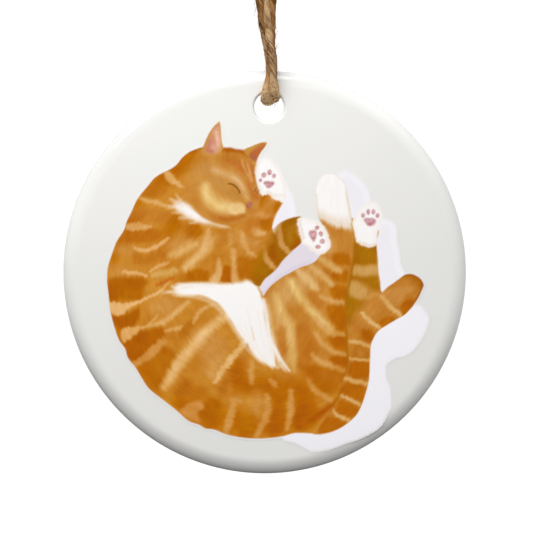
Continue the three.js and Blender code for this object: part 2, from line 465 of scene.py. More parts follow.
def ply_rings(part, which):
    """One ply's rings over a stretch of the cord, with its fibre coordinates and its wear.

    What is added to a noise's coordinates only keeps one pattern apart from another.
    """
    centre, way = LINE[part], tangents(LINE)[part]
    along = LINE_LENGTH[part]
    angle = PLY_START + which * math.pi - 2 * math.pi * along / PLY_PITCH
    out = LINE_ACROSS[part] * np.cos(angle)[:, None] + LINE_OTHER[part] * np.sin(angle)[:, None]
    aside = np.cross(way, out)
    around = np.linspace(0, 2 * math.pi, PLY_SIDES, endpoint=False)
    u, v = np.meshgrid(along, around, indexing="ij")
    own_twist = v + 2 * math.pi * u / FIBRE_PITCH
    ridges = noise(u / 3.5 + 31 * which, own_twist * 2.6 + 50) - 0.5
    fine = noise(u / 1.3 + 17 * which, own_twist * 6.5 + 9) - 0.5
    lumps = noise(u / 2.6 + 70 + 13 * which, v * 0 + which * 9.0) - 0.5
    crumbs = noise(u / 0.42 + 11, own_twist * 4 + 33 * which) - 0.5
    fold = hole_weight(centre[:, 2], centre[:, 1])[:, None]
    uneven = 1 + RIDGE_DEPTH * ridges + FINE_DEPTH * fine + LUMP_DEPTH * lumps + CRUMB_DEPTH * fold * crumbs
    radius = PLY_RADIUS * uneven
    local = out[:, None] * (PLY_OFFSET + radius * np.cos(v))[..., None]
    local = local + aside[:, None] * (radius * np.sin(v))[..., None]
    streaked = stain(centre[:, 2, None], centre[:, 1, None], local[..., 0])
    local[..., 0] *= 1 + HOLE_FOLD_WIDER * fold
    local[..., 0] -= HOLE_FOLD_LEFT * fold
    rings = centre[:, None] + local
    fibre = np.stack([u, own_twist, v * 0 + which], -1)
    wear = np.stack([np.broadcast_to(fold, u.shape), streaked, u * 0], -1)
    return rings, fibre, wear


def fuzz_hair(start, way, out, length, curl):
    """One loose fibre: a thin closed tube that leaves the cord and curls back along it."""
    t = np.linspace(0, 1, 6)[:, None]
    line = start + way * length * t + out * length * (0.42 * t - 0.12 * t * t) + curl * length * t * t
    side = np.cross(way, out)
    width = HAIR_ROOT * (1 - 0.75 * t)
    turn = np.arange(3)[:, None] * 2 * math.pi / 3
    around = out * np.cos(turn) + side * np.sin(turn)
    return line[:, None] + around[None] * width[:, None]


def fuzz(part, amount):
    """Loose fibres along a stretch of the cord, as rings with the point of the cord that they leave."""
    hairs = []
    for i in RANDOM.choice(np.arange(part.start + HAIR_MARGIN, part.stop - HAIR_MARGIN), amount):
        way = tangents(LINE[i - 1 : i + 2])[1] * RANDOM.choice([-1, 1])
        angle = RANDOM.uniform(0, 2 * math.pi)
        out = LINE_ACROSS[i] * math.cos(angle) + LINE_OTHER[i] * math.sin(angle)
        curl = RANDOM.normal(0, HAIR_CURL, 3)
        length = RANDOM.uniform(0.35, 1) ** 1.6 * HAIR_LONGEST
        rings = fuzz_hair(LINE[i] + out * RANDOM.uniform(*HAIR_START), way, out, length, curl)
        if np.linalg.norm(rings - LINE[i], axis=2).max() < HAIR_LONGEST:
            hairs.append((rings, i))
    return hairs


def cord_piece(name, part, look, amount):
    """A stretch of the cord: its two plies and its loose fibres in one mesh."""
    points, faces, fibre, wear = [], [], [], []

    def add(rings, ring_fibre, ring_wear):
        more, quads = tube(rings)
        base = sum(len(p) for p in points)
        points.append(more)
        faces.extend([[base + k for k in face] for face in quads])
        fibre.append(ring_fibre.reshape(-1, 3))
        wear.append(ring_wear.reshape(-1, 3))

    for which in (0, 1):
        add(*ply_rings(part, which))
    for rings, i in fuzz(part, amount):
        shape = rings.shape[:2]
        tone = RANDOM.uniform(0, 40)
        fibre_there = [LINE_LENGTH[i], tone, RANDOM.randint(2)]
        add(rings, np.tile(fibre_there, (*shape, 1)), np.zeros((*shape, 3)))
    piece = make_piece(name, np.vstack(points), faces, look)
    store(piece, "fibre", "FLOAT_VECTOR", np.vstack(fibre))
    store(piece, "wear", "FLOAT_VECTOR", np.vstack(wear))
    return piece


def add_twine(look):
    first, last = CUTS
    lower = slice(first, last + 1)
    back, front = slice(0, first + 1), slice(last, len(LINE))
    piece = cord_piece("loop_lower_cord", lower, look, LOWER_HAIRS)
    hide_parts("twine_bight", "twine_front_mid", "twine_back_mid")
    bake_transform(piece)
    piece = cord_piece("loop_back_cord", back, look, UPPER_HAIRS)
    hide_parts("twine_back_upper", "twine_back_tail")
    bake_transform(piece)
    piece = cord_piece("loop_front_cord", front, look, UPPER_HAIRS)
    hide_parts("twine_front_upper", "twine_front_tail", "twine_knot")
    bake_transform(piece)


# ---- ceramic disc: flat faces, a bullnose rim and a hole with rounded lips ----
RIM_ROUND = 2.7
HOLE_Z = 29.5
HOLE_RADIUS = 2.65
LIP_ROUND = 0.5
DISC_SEGMENTS = 288
LIP_RINGS = 8
FACE_RINGS = 14
RIM_RINGS = 14
FACE_EDGE = 0.002  # a ring this part of the way in from each edge of the flat face keeps its shading flat
# Painted shade: the glaze is painted a little greyer over the upper rim, where the key light is brightest,
# so that the edge shows against the white backdrop: from this radius, over this much more, above this height
# and over this much more of it. Upwards leans a little to the left here, towards the key light.
RIM_SHADE_FROM = 33.2
RIM_SHADE_OVER = 1.6
RIM_SHADE_LOW = 18.0
RIM_SHADE_UP = 18.0
RIM_SHADE_WAY = (-0.37, 0.93)


def disc_profile():
    """Rings from the hole's middle over the front face to the rim's edge.

    Each is a part of the way from the hole's centre to the disc's, a radius and a height.
    """
    rings = []
    mouth, flat = HOLE_RADIUS + LIP_ROUND, DISC_RADIUS - RIM_ROUND
    for a in np.linspace(0, math.pi / 2, LIP_RINGS):
        rings.append((0, mouth - LIP_ROUND * math.cos(a), HALF_THICK - LIP_ROUND + LIP_ROUND * math.sin(a)))
    for t in [FACE_EDGE, *np.linspace(0, 1, FACE_RINGS)[1:-1], 1 - FACE_EDGE]:
        rings.append((t, mouth + (flat - mouth) * t, HALF_THICK))
    for a in np.linspace(math.pi / 2, 0, RIM_RINGS):
        rings.append((1, flat + RIM_ROUND * math.cos(a), HALF_THICK * math.sin(a)))
    return rings


def add_disc(look):
    half = disc_profile()
    around = [*half, *[(t, r, -h) for t, r, h in half[-2::-1]]]
    turn = np.linspace(0, 2 * math.pi, DISC_SEGMENTS, endpoint=False)
    points = []
    for t, radius, height in around:
        middle = HOLE_Z * (1 - t)
        x, z = radius * np.sin(turn), middle + radius * np.cos(turn)
        points.append(np.stack([x, np.full(len(turn), -height), z], 1))
    count, n = len(around), DISC_SEGMENTS
    faces = []
    for i in range(count):
        k = (i + 1) % count
        faces += [[i * n + j, i * n + (j + 1) % n, k * n + (j + 1) % n, k * n + j] for j in range(n)]
    points = np.vstack(points)
    piece = make_piece("glazed_disc", points, faces, look)
    # painted shade: how much greyer the glaze is painted over the upper rim, where the key light is brightest
    outer = ease((np.hypot(points[:, 0], points[:, 2]) - RIM_SHADE_FROM) / RIM_SHADE_OVER)
    upward = points[:, 2] * RIM_SHADE_WAY[1] + points[:, 0] * RIM_SHADE_WAY[0]
    store(piece, "upper_rim_shade", "FLOAT", outer * ease((upward - RIM_SHADE_LOW) / RIM_SHADE_UP))
    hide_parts("ceramic_disc")
    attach(piece, "ornament")


# Outlines, as arcs that meet at corners. Left and right are the viewer's.
BODY = closed([(-11.9, 22), (-14, 21.1), (-15.3, 20), (-16.3, 18.7), (-17.4, 17.9), (-18.6, 17.3),
    (-20.1, 16.3), (-21.2, 14.9), (-22.4, 13.4), (-23.4, 11.8), (-24, 10.3), (-24.9, 8.3), (-25.3, 6.9),
    (-26.6, 4.7), (-27.3, 2.7), (-28, 0.3), (-28.15, -1.8), (-27.8, -4.6), (-27.4, -7.6), (-26.6, -10.5),
    (-25.6, -13), (-24.6, -14.3), (-24, -16), (-22.6, -17.7), (-21.4, -19.6), (-20.2, -21.3), (-18, -23),
    (-15.4, -24.9), (-12.8, -27), (-11, -27.6), (-9.9, -28.2), (-8.4, -28.35), (-6, -29.2), (-3, -29.7),
    (0.2, -29.75), (3.7, -29.3), (6, -28.6), (8.2, -28.5), (10.6, -28.7), (13.4, -27.9), (16, -26.1),
    (17.6, -24), (18.6, -21), (19.1, -18.5), (19.1, -15), (18, -10), (16, -4), (16, 4), (12, 6),
    (9.9, 3.3)],
    [(9.9, 3.3), (9.3, 2.4), (8.2, 1.6), (6.5, 1), (5, 0.2), (3, -1), (1.2, -2.5), (-0.1, -4.3)],
    [(-0.1, -4.3), (-1, -2), (0.8, 2), (2.2, 5.4), (1.2, 7.6), (1.2, 9.4), (1.8, 12), (1.8, 13.6),
    (-1.2, 14), (-2, 17), (-4, 20), (-8, 21.6)])
SHADOW_TOP = closed([(3, 16.4), (3.9, 14.9), (4.7, 13.6), (5.1, 11.9), (5.3, 10), (5, 8), (1, 6), (0.6, 9),
    (2, 13)])
SHADOW_MID = closed([(-1.2, -2.2), (1, 0), (4, 3), (6, 5.6), (8, 6), (10.5, 4), (10, 2), (6, 0), (1, -4),
    (-0.4, -5)])
SHADOW_HIND = closed([(12, 17.6), (13.2, 18.2), (13.9, 18.5), (15, 18.1), (16.3, 17.3), (17.4, 16.1),
    (18.2, 14.8), (18.6, 13.2), (18.4, 11), (17, 8), (15, 8), (14, 12)])
SHADOW_RIGHT = closed([(19.4, 12), (20.7, 10.2), (21.9, 9.9), (22.8, 9.3), (23.3, 8.4), (23.4, 6.4),
    (23.9, 4.4), (24.3, 1.8), (25.2, -0.2), (24, -3), (20, -5), (18.5, 0), (19, 8)])
SHADOW_LOW = closed([(26.5, -5.2), (27.8, -5.2), (28.9, -6.4), (29.5, -7.5), (29, -9.6), (28, -11.6),
    (26.6, -13.4), (25.2, -14.3), (23.9, -14.6), (22.9, -15.2), (22.1, -15.9), (22, -17.3), (22.2, -18.6),
    (22.9, -20), (23.1, -22), (23.1, -23.6), (22.4, -24.8), (21.9, -25.9), (21, -27.1), (19, -28.4),
    (17.4, -29.2), (15.4, -29.9), (13, -30.9), (10.8, -31.5), (9, -31.6), (7.4, -30.8), (6.1, -30.2),
    (4, -29.6), (5, -27), (14, -25), (17, -16), (19, -10), (23, -6)])
EAR_LEFT = closed([(-11.9, 21.3), (-11.5, 22.4), (-11, 23.7), (-10.2, 25.2), (-9.4, 26.2), (-8.7, 26.8)],
    [(-8.7, 26.8), (-8.45, 25.8), (-8.35, 24.4), (-8.15, 22.9), (-7.9, 22), (-8.6, 21), (-10.2, 20.2),
    (-11.6, 20.3)])
EAR_LEFT_PINK = [(-11.2, 21.4), (-10.95, 22.6), (-10.4, 23.9), (-9.7, 25.2), (-9, 26.1), (-8.75, 25.4),
    (-8.65, 24), (-8.4, 22.4), (-8.6, 21.5), (-9.4, 20.9), (-10.5, 20.6)]
EAR_RIGHT = closed([(-4.7, 21.6), (-3.9, 22), (-3.2, 22.3), (-2, 22.85), (-1, 23.2), (-0.1, 23.2)],
    [(-0.1, 23.2), (-0.3, 22.6), (-1.2, 21.3), (-1.7, 20.3), (-2.1, 19.3), (-2.6, 19.2), (-3.4, 20.4)])
HEAD = closed([(-12, 21.9), (-10, 22.2), (-8, 22.1), (-6.9, 22.15), (-5.6, 21.85), (-4.6, 21.8), (-3, 21.6),
    (-1.9, 20), (-2.1, 18.4), (-2.2, 17), (-1.95, 15.9), (-1.4, 14.7), (-1.1, 13), (-1.9, 10.6),
    (-3.6, 9.2), (-5.6, 8.4), (-8, 8.3), (-10, 8.9), (-12, 10), (-13.2, 11.4), (-14.2, 13.4), (-14.2, 17),
    (-13.4, 20)])
BELLY_WHITE = closed([(-16.5, -3.7), (-15.9, -2.9), (-14.6, -2.4), (-12.6, -2.2), (-9, -2.2), (-5.6, -2.1),
    (-4.2, -1.8), (-3.2, -1.6), (-2.2, -1.8), (-1.4, -2.3), (-0.8, -3.2), (-0.4, -4.6), (0.1, -6),
    (0.4, -8), (0.9, -10.5), (1.8, -13), (2.9, -15.2), (4.3, -17)],
    [(4.3, -17), (2, -16.9), (0.2, -16.2), (-1.4, -15), (-2.7, -13.2), (-4.2, -11.4), (-5.6, -9.2),
    (-7.2, -7), (-8.8, -5.5), (-11.4, -4.5), (-13.6, -4.6), (-15.6, -4.5)])
PAW_ARM = closed([(-1.9, 16), (-2.1, 17.4), (-2, 18.6), (-1.7, 19.6), (-1.1, 20.3), (-0.3, 20.55),
    (0.5, 20.3), (1.3, 19.5), (2.1, 18.6), (2.7, 17.4), (3.1, 16.2), (3.5, 14.9), (3.6, 14), (3.2, 12.6),
    (1.6, 13), (0.6, 13.7), (-0.6, 13.7), (-1.2, 13.9), (-1.4, 14.7)])
ARM = closed([(-1.2, 13.9), (0.6, 14.4), (3.2, 13.9), (3, 12.8), (2.5, 11.8), (1.9, 10.7), (1.45, 9.5),
    (1, 8), (0.7, 7.3), (-1, 6), (-4, 7), (-4, 10), (-2.6, 12.6)])
FORELEG = closed([(0.7, 7.1), (1.6, 8), (2.6, 8.9), (4, 9.6), (5.1, 9.95), (6.2, 10.1), (7, 8), (6.5, 5.6),
    (5.8, 4.8), (5, 4.1), (4.1, 3.1), (3.1, 2), (2.3, 0.9), (1.6, 0.1), (0.8, -0.6), (0.1, -1.2),
    (-0.4, -1.9), (-0.9, -2.6), (-2.6, -1.6), (-3, 0), (-1, 4)])
PAW_FORE = closed([(5.5, 9.1), (6, 9.9), (7, 9.85), (8.2, 9.6), (9.2, 9.3), (10, 8.8), (10.8, 7.9),
    (11.3, 6.8), (11.55, 5.6), (11.5, 4.7), (11, 3.9), (10.2, 3.45), (9.3, 3.4), (8.6, 3.8), (7.6, 4.6),
    (6.5, 5.5), (6.15, 6.4), (5.9, 7.6)])
HIND_LEFT = closed([(10.4, 17.8), (11.6, 17.85), (12.6, 17.4), (13.5, 16.6), (14, 15.5), (14.4, 14),
    (14.8, 12.3), (15.1, 10.6), (15.4, 8.8), (15.9, 7), (16, 5), (15.9, 3), (15.6, 1), (15.2, -1),
    (14.8, -3), (14.6, -6), (15, -10), (15.3, -14), (15.1, -17.4), (14.4, -19.6), (13.6, -22), (11, -26),
    (4, -24), (2, -14), (0, -4.5), (1.2, -2.5), (3, -1), (5, 0.2), (6.5, 1), (8.2, 1.6), (9.3, 2.4),
    (9.9, 3.3), (10.6, 5.2), (10.4, 8), (9.4, 9.7), (9, 11.6), (8.75, 13.6), (8.8, 15.6), (9.3, 16.9)])
SOCK_EDGE = [(8, 9.4), (9.8, 9.5), (11, 8.9), (12, 8.5), (13.4, 8.2), (14.6, 8), (16, 7.8)]
HIND_RIGHT = closed([(14.4, 9.5), (16, 10), (17, 9), (19, 8), (20.1, 8), (19.9, 6.4), (19.85, 5),
    (20.05, 3), (20.25, 0.6), (20.6, -1.2), (20.9, -2.9), (22.5, -4), (19, -8), (15, -12), (14.2, -8),
    (14.4, -2), (15.4, 1), (15.7, 5)])
PAW_HIND = closed([(15.35, 8.6), (15.5, 9.8), (16.1, 10.9), (16.7, 11.8), (17.4, 12.5), (18.2, 13),
    (19, 13.05), (19.8, 12.6), (20.4, 11.7), (20.75, 10.6), (20.5, 9.4), (20.1, 8.3), (19.9, 7),
    (19.85, 5.4), (18.4, 5), (17, 5.3), (16.1, 6), (15.8, 7.2)])
TAIL = closed([(10.2, -28.4), (12.4, -28.2), (14.4, -27.3), (16, -26.1), (17.2, -24.8), (17.9, -23),
    (18.5, -21.2), (19, -19.2), (19.1, -17), (19.2, -14.6), (19.25, -12.6), (19.8, -11.1), (20.7, -9.8),
    (22, -8.9), (23.6, -7.9), (25.2, -6.9), (26.2, -5.8), (27.2, -4.5), (28, -2.9), (28.45, -1.4),
    (28.1, -0.7), (27.2, 0), (26.2, 0.35), (25.3, 0.3), (24.3, -0.4), (23, -1.4), (21.9, -2.2),
    (20.9, -3.3), (19.4, -4.3), (17.6, -6.2), (16, -8.6), (15.2, -11), (15.4, -14.4), (15.2, -17.2),
    (14.4, -19), (14.1, -21.4), (13.2, -23.2), (12, -25)])

BODY_SPINE = [(-7, 20), (-14, 15), (-20, 8), (-22, 0), (-20, -9), (-14, -17), (-5, -22), (4, -22),
    (11, -18), (13, -8)]
HEAD_SPINE = [(-3, 12), (-6, 15), (-8, 18), (-9, 22)]
THIGH_SPINE = [(3, -22), (8, -14), (11, -4), (12.5, 4), (12.5, 17)]
FORELEG_SPINE = [(-3, -1), (2, 4), (6, 7), (10, 8)]
TAIL_SPINE = [(11, -27), (16, -22), (17.2, -15), (18.5, -9.5), (22, -5.5), (28, -1)]
HIND_RIGHT_SPINE = [(17, -10), (17.6, -4), (18, 4), (18.5, 13)]

DARKS_GAIN = 1.1  # the body's dark patches are all this much stronger than they say
# The fur's unevenness: how strong its tufts and hairs are beside its blots, how far red, green and blue
# follow them, and how much the hairs lighten and darken everything.
TUFT_STRENGTH = 0.4
HAIR_STRENGTH = 0.25
UNEVEN_TINT = (0.05, 0.12, 0.3)
HAIR_LIGHT = 0.015


def many(c, colour, soft, strength, *strokes):
    """Brush strokes of one colour, each a width and then its points."""
    for width, *points in strokes:
        c.stroke(points, colour, width, soft, strength)


def patches(c, soft, strength, colour, outlines):
    """Soft patches of one colour."""
    for points in outlines:
        c.patch(points, colour, soft, strength)


def tones(c, *rows, gain=1.0):
    """Soft patches, each with its own softness, strength and colour before its points."""
    for soft, strength, colour, *points in rows:
        c.patch(points, colour, soft, strength * gain)


def pads(c, main, toes):
    """Paw pads: one three-lobed main pad and four toe beans, rosier inside and darker at their edges.

    Each is given by its centre, its half width, its half height and its turn.
    """
    for pad in (main, *toes):
        x, z, wide, high, turn = pad
        ca, sa = math.cos(turn), math.sin(turn)
        u, v = (c.x - x) * ca + (c.z - z) * sa, (c.z - z) * ca - (c.x - x) * sa
        wobble = 0.12 * (noise(c.x * 2.2 + 3, c.z * 2.2) - 0.5)
        r = np.hypot(u / wide, v / high) + wobble
        if pad is main:
            r = r + 0.16 * np.cos(3 * np.arctan2(v / high, u / wide) + math.pi / 2)
        c.put(c.mask * 0.9 * ease((1.3 - r) / 0.55), (206, 152, 156))
        c.put(c.mask * 0.7 * ease((0.75 - r) / 0.5), (230, 182, 186))
        spots = ease((noise(c.x * 5 + 9, c.z * 5) - 0.52) / 0.14)
        c.put(c.mask * 0.5 * spots * ease((1.1 - r) / 0.3), (168, 100, 98))


def shadows(c):
    """The soft lavender shadow the cat lies on, paler along its outer edge and without hairs."""
    c.lie([(0, -30), (25, -10), (20, 18)], 0.15)
    for outline, pale in ((SHADOW_TOP, 1.4), (SHADOW_HIND, 1.4), (SHADOW_RIGHT, 1.4), (SHADOW_LOW, 2.6)):
        c.shape(outline, (235, 230, 239), soft=0.2)
        c.rim((250, 249, 252), width=pale, strength=0.8, inner=1.5)
    c.shape(SHADOW_MID, (230, 221, 231), soft=0.2)
    many(c, (216, 205, 219), 0.5, 0.5, (0.8, (0, -3.6), (2, -1.6), (5, 0.6), (8, 2)))
    c.fur[:] = 0


def body(c):
    """The curled body, its tones first and its stripes over them."""
    c.lie(BODY_SPINE, 0.3)
    c.shape(BODY, (199, 131, 42))
    body_tones(c)
    body_darks(c)
    body_lights(c)
    flank(c)


def body_tones(c):
    """Broad tones: deep amber towards the outer edge and the bottom, ochre inside."""
    many(c, (183, 102, 4), 1.6, 0.9, (3, (-22.5, 14.5), (-24.5, 9), (-27, 2)),
        (3.5, (-27, -4), (-26, -10), (-22.5, -16), (-18, -21)),
        (4.5, (-15, -23.5), (-8, -26), (0, -27), (8, -26)), (3.5, (-12, 21), (-16, 18.6), (-20, 14.6)),
        (5, (-3, -20), (4, -21), (12, -20)), (3, (-16, 9), (-18, 5)))
    many(c, (206, 146, 74), 1.8, 0.85, (5, (-11, -12), (-9, -14), (-8.5, -17)), (3, (-19, -7), (-16, -6)),
        (2.6, (-12.6, 17.5), (-13.6, 13.5)), (2.0, (-0.6, -22), (-0.8, -25.4)), (2.5, (-17, 4.4), (-12, 5)),
        (2.6, (-6, 6), (-1.6, 5)), (2, (-26.4, 3.6), (-24.4, 3.4)), (2, (-26.4, -0.6), (-24.4, -1)))


def body_darks(c):
    """Deep amber patches between the stripes."""
    tones(c,
        (0.6, 0.85, (176, 96, 6), (-27.9, -2.2), (-26.7, -1.7), (-25, -1.5), (-22.7, -1.6), (-20.7, -2.1),
         (-21.3, -3.4), (-21.8, -5.4), (-23.5, -5.6), (-25.7, -5.4), (-27.8, -5)),
        (0.5, 0.85, (172, 90, 0), (-27, -8.8), (-24.4, -8.2), (-22.2, -7), (-22.1, -8.3), (-22.8, -9.9),
         (-25, -10.6), (-26.4, -10)),
        (0.5, 0.9, (175, 93, 3), (-25, -13.8), (-23.7, -12.5), (-22, -11.3), (-19.7, -10.7), (-17.2, -10.7),
         (-18, -12), (-19.7, -13.7), (-21, -15.3), (-22.3, -16.4), (-24.2, -15.8)),
        (0.8, 0.8, (180, 101, 10), (-19.4, -15.6), (-17.6, -14), (-15.6, -14.8), (-15.4, -16.4),
         (-17.2, -20), (-18.6, -21.2), (-19.8, -19.2)),
        (0.9, 0.8, (184, 106, 18), (-15.4, -21.8), (-13.6, -19.4), (-11.8, -20.4), (-9.6, -21),
         (-9.6, -22.8), (-12.4, -22.6)),
        (0.7, 0.85, (178, 99, 2), (-10.4, -23.4), (-8.4, -22.6), (-7.2, -24), (-7.6, -27.6), (-9.2, -28.2),
         (-10.2, -26)),
        (1.0, 0.8, (178, 96, 8), (-5.2, -16), (-3.6, -15.4), (-2.8, -17.4), (-3.2, -20.4), (-4.8, -21.6),
         (-5.8, -19)), (0.8, 0.8, (182, 104, 8), (-3.6, -26), (-1.2, -25.6), (-1.6, -29), (-4, -29.2)),
        (0.7, 0.85, (180, 98, 2), (2.4, -22.4), (4, -22), (4.2, -25), (4, -28.4), (1.8, -29), (2.2, -25.6)),
        (0.8, 0.8, (180, 96, 2), (6.6, -22.6), (9.4, -22.8), (10.6, -25.4), (8.6, -27.8), (6.4, -27.8)),
        (0.9, 0.5, (188, 112, 26), (-22.4, 16), (-20, 15.8), (-18.2, 15), (-17.4, 13.4), (-19.4, 13),
         (-22, 13.4)),
        (0.6, 0.75, (194, 120, 38), (-24.2, 10.6), (-20.6, 10.8), (-17.2, 9.8), (-17.8, 8.6), (-21, 8.6),
         (-24.6, 8.8)),
        (0.5, 0.85, (186, 106, 20), (-25.6, 6.9), (-22.4, 6.9), (-19.4, 7.2), (-18.4, 6.2), (-20.4, 4.9),
         (-23, 4.6), (-25.6, 5)),
        (0.6, 0.75, (188, 112, 28), (-23.6, 2.8), (-21.4, 2.4), (-18.6, 3.6), (-17.6, 2.8), (-20, 1.2),
         (-23.6, 1)),
        (0.7, 0.75, (186, 108, 20), (-14.2, 8), (-12.6, 8.2), (-11.6, 6.8), (-12.8, 5.6), (-14.6, 6.4)),
        (0.5, 0.85, (178, 98, 4), (-13.4, 0), (-11.4, 0.3), (-10, -0.4), (-10, -1.8), (-12, -2),
         (-14.4, -2)), (0.6, 0.7, (188, 112, 26), (-16.4, -1.6), (-14, -1), (-13.6, -2), (-16, -2.6)),
        (0.5, 0.6, (184, 108, 20), (-14.6, -12.6), (-12.8, -10.8), (-11.6, -9), (-12.8, -8.6), (-15, -11)),
        (0.5, 0.6, (186, 110, 24), (-6.8, -19.4), (-5.8, -19), (-6.6, -22.6), (-8, -23)), gain=DARKS_GAIN)
    many(c, (190, 88, 18), 0.3, 0.8, (0.5, (-19.2, -2.8), (-17.8, -2.2), (-16.2, -1.4)))
    many(c, (172, 82, 4), 0.6, 0.85, (1.2, (13.4, -22.6), (11.6, -24.2), (9.4, -26)))
    c.stroke([(-13.6, 21.4), (-9, 22), (-4, 21.6)], (174, 92, 8), 1.4, 0.6, 0.9)


def body_lights(c):
    """Pale stripes, ragged at their edges."""
    tones(c,
        (0.3, 0.9, (234, 186, 126), (-27.6, -6), (-25, -6.2), (-23, -5.8), (-21.5, -5.3), (-20, -4.5),
         (-18.3, -3.4), (-17, -2.2), (-18.3, -3.9), (-20.3, -5.1), (-22.3, -6.2), (-23.8, -7), (-25, -8),
         (-26, -8.5), (-27.2, -8)),
        (0.3, 0.9, (226, 174, 108), (-25.4, -11), (-23.2, -10.4), (-21, -10), (-18.8, -8.2), (-20, -9.8),
         (-22, -11), (-23.6, -12.4), (-24.8, -13.2)),
        (0.45, 0.8, (212, 150, 80), (-14.5, -25.2), (-13, -23.8), (-10.9, -23.2), (-10.1, -24.4),
         (-11.2, -25.6), (-10.7, -27.1), (-12.8, -26.6)),
        (0.35, 0.9, (226, 176, 112), (-18.6, 17.7), (-17.4, 17.5), (-16, 16), (-14.8, 14.6), (-16, 15),
         (-17.8, 16)),
        (0.3, 0.85, (222, 170, 106), (-25, 7.6), (-23.2, 8.3), (-21.6, 7.9), (-20.2, 7.6), (-21.8, 7),
         (-24.8, 6.9)))
    many(c, (230, 178, 116), 0.3, 0.9, (0.7, (-25.2, -0.6), (-23.3, -0.7), (-21.2, -1.1)),
        (0.6, (-20.4, -0.3), (-19, 0.5), (-17.2, 1.3)),
        (0.75, (-23.2, 3.8), (-22, 3.2), (-20, 3.8), (-18.7, 4.5), (-17.4, 5.6)))
    many(c, (222, 172, 106), 0.4, 0.85, (1.0, (-20.2, -10.1), (-17.7, -9.3), (-15.3, -7.3), (-13.4, -5.6)),
        (0.8, (-17.4, -11), (-14.6, -10.2)), (0.8, (-22.4, 12.6), (-20, 12), (-17, 11)),
        (0.7, (-12.4, -9.3), (-11.3, -7.3), (-9.2, -6.1)))
    many(c, (226, 178, 112), 0.7, 0.9,
        (2.1, (-17.3, -21), (-14.7, -16.4), (-12, -13), (-9.3, -10), (-6.6, -7.9)),
        (1.8, (-14.2, 0.4), (-12, 2.4), (-10, 4.4), (-8.8, 6)),
        (1.5, (-16.8, 2.4), (-14.8, 3.5), (-12.6, 4.6)))
    many(c, (236, 192, 130), 0.5, 0.6, (0.9, (-13.6, -15), (-11.4, -12.2), (-9, -9.8)),
        (0.9, (-13, 1.6), (-11, 3.6)))
    many(c, (218, 172, 100), 0.5, 0.85, (1.3, (-19.8, -1), (-18, -0.6), (-15.8, -0.2)))
    many(c, (226, 180, 114), 0.35, 0.9, (1.2, (-3.2, -12.5), (-5.3, -15.3), (-7, -17.7), (-8.4, -19.8)))
    many(c, (210, 150, 78), 0.4, 0.85, (1.5, (-23, -17.4), (-20.3, -15.3), (-17.7, -12.9)),
        (1.2, (-9.8, -18.2), (-8.6, -19)), (1.1, (-1.8, -16), (-1.9, -19.9)),
        (1.5, (-5, -23), (-5.3, -25.3), (-6.3, -28.8)), (0.9, (-4.4, -22.9), (-3.6, -23.4)),
        (1.3, (1, -22), (1.2, -24.7), (0.7, -26.7), (-0.8, -29.4)), (1.1, (1.6, -19.2), (2.4, -20.2)),
        (1.2, (5.2, -21), (5.2, -24.7), (4.8, -27.8)), (1.1, (8.1, -19), (9.7, -20.8), (12.4, -22.6)))


def flank(c):
    """The inner flank, above the belly."""
    tones(c, (0.3, 0.9, (222, 170, 106), (-8.4, 2.4), (-7.9, 1.6), (-7.9, -1.9), (-9.9, -2), (-8.9, -0.4)),
        (0.25, 0.9, (180, 94, 2), (-7.1, 1.1), (-6.3, 0.8), (-5.9, -0.6), (-5.8, -1.9), (-7.8, -1.9),
         (-7.6, -0.4)),
        (0.35, 0.9, (220, 168, 104), (-6, 4.2), (-5.2, 4), (-5.1, 1.4), (-4.4, -1.8), (-5.8, -1.9),
         (-5.9, 0.6)),
        (0.5, 0.85, (184, 106, 12), (-4.6, 2.6), (-2.4, 2.2), (-1.6, 3), (-0.9, 0.4), (-2, -1.4),
         (-4.4, -1.5)),
        (0.5, 0.7, (174, 114, 4), (-1.6, 2.6), (-0.4, 3.8), (0.4, 1), (1.4, -0.2), (-0.8, -2.2),
         (-2.2, -0.8)),
        (0.4, 0.85, (184, 104, 8), (-13, 8.6), (-11.9, 8.3), (-11.4, 6.6), (-12.6, 5.9), (-13.8, 7)),
        (0.6, 0.6, (190, 118, 34), (-9.2, 6.9), (-7, 6.8), (-6.8, 4.6), (-8.8, 4)))
    many(c, (224, 172, 108), 0.5, 0.85, (1.0, (-4.1, 7), (-3.8, 5), (-3, 3.6), (-1.8, 2.8)),
        (1.2, (-10.2, 7.2), (-10.4, 5.4), (-11, 3.8)))
    many(c, (212, 156, 84), 0.5, 0.7, (0.8, (-6.4, 7), (-6.2, 5)), (0.8, (-2, 4.8), (-1.2, 5.4)))


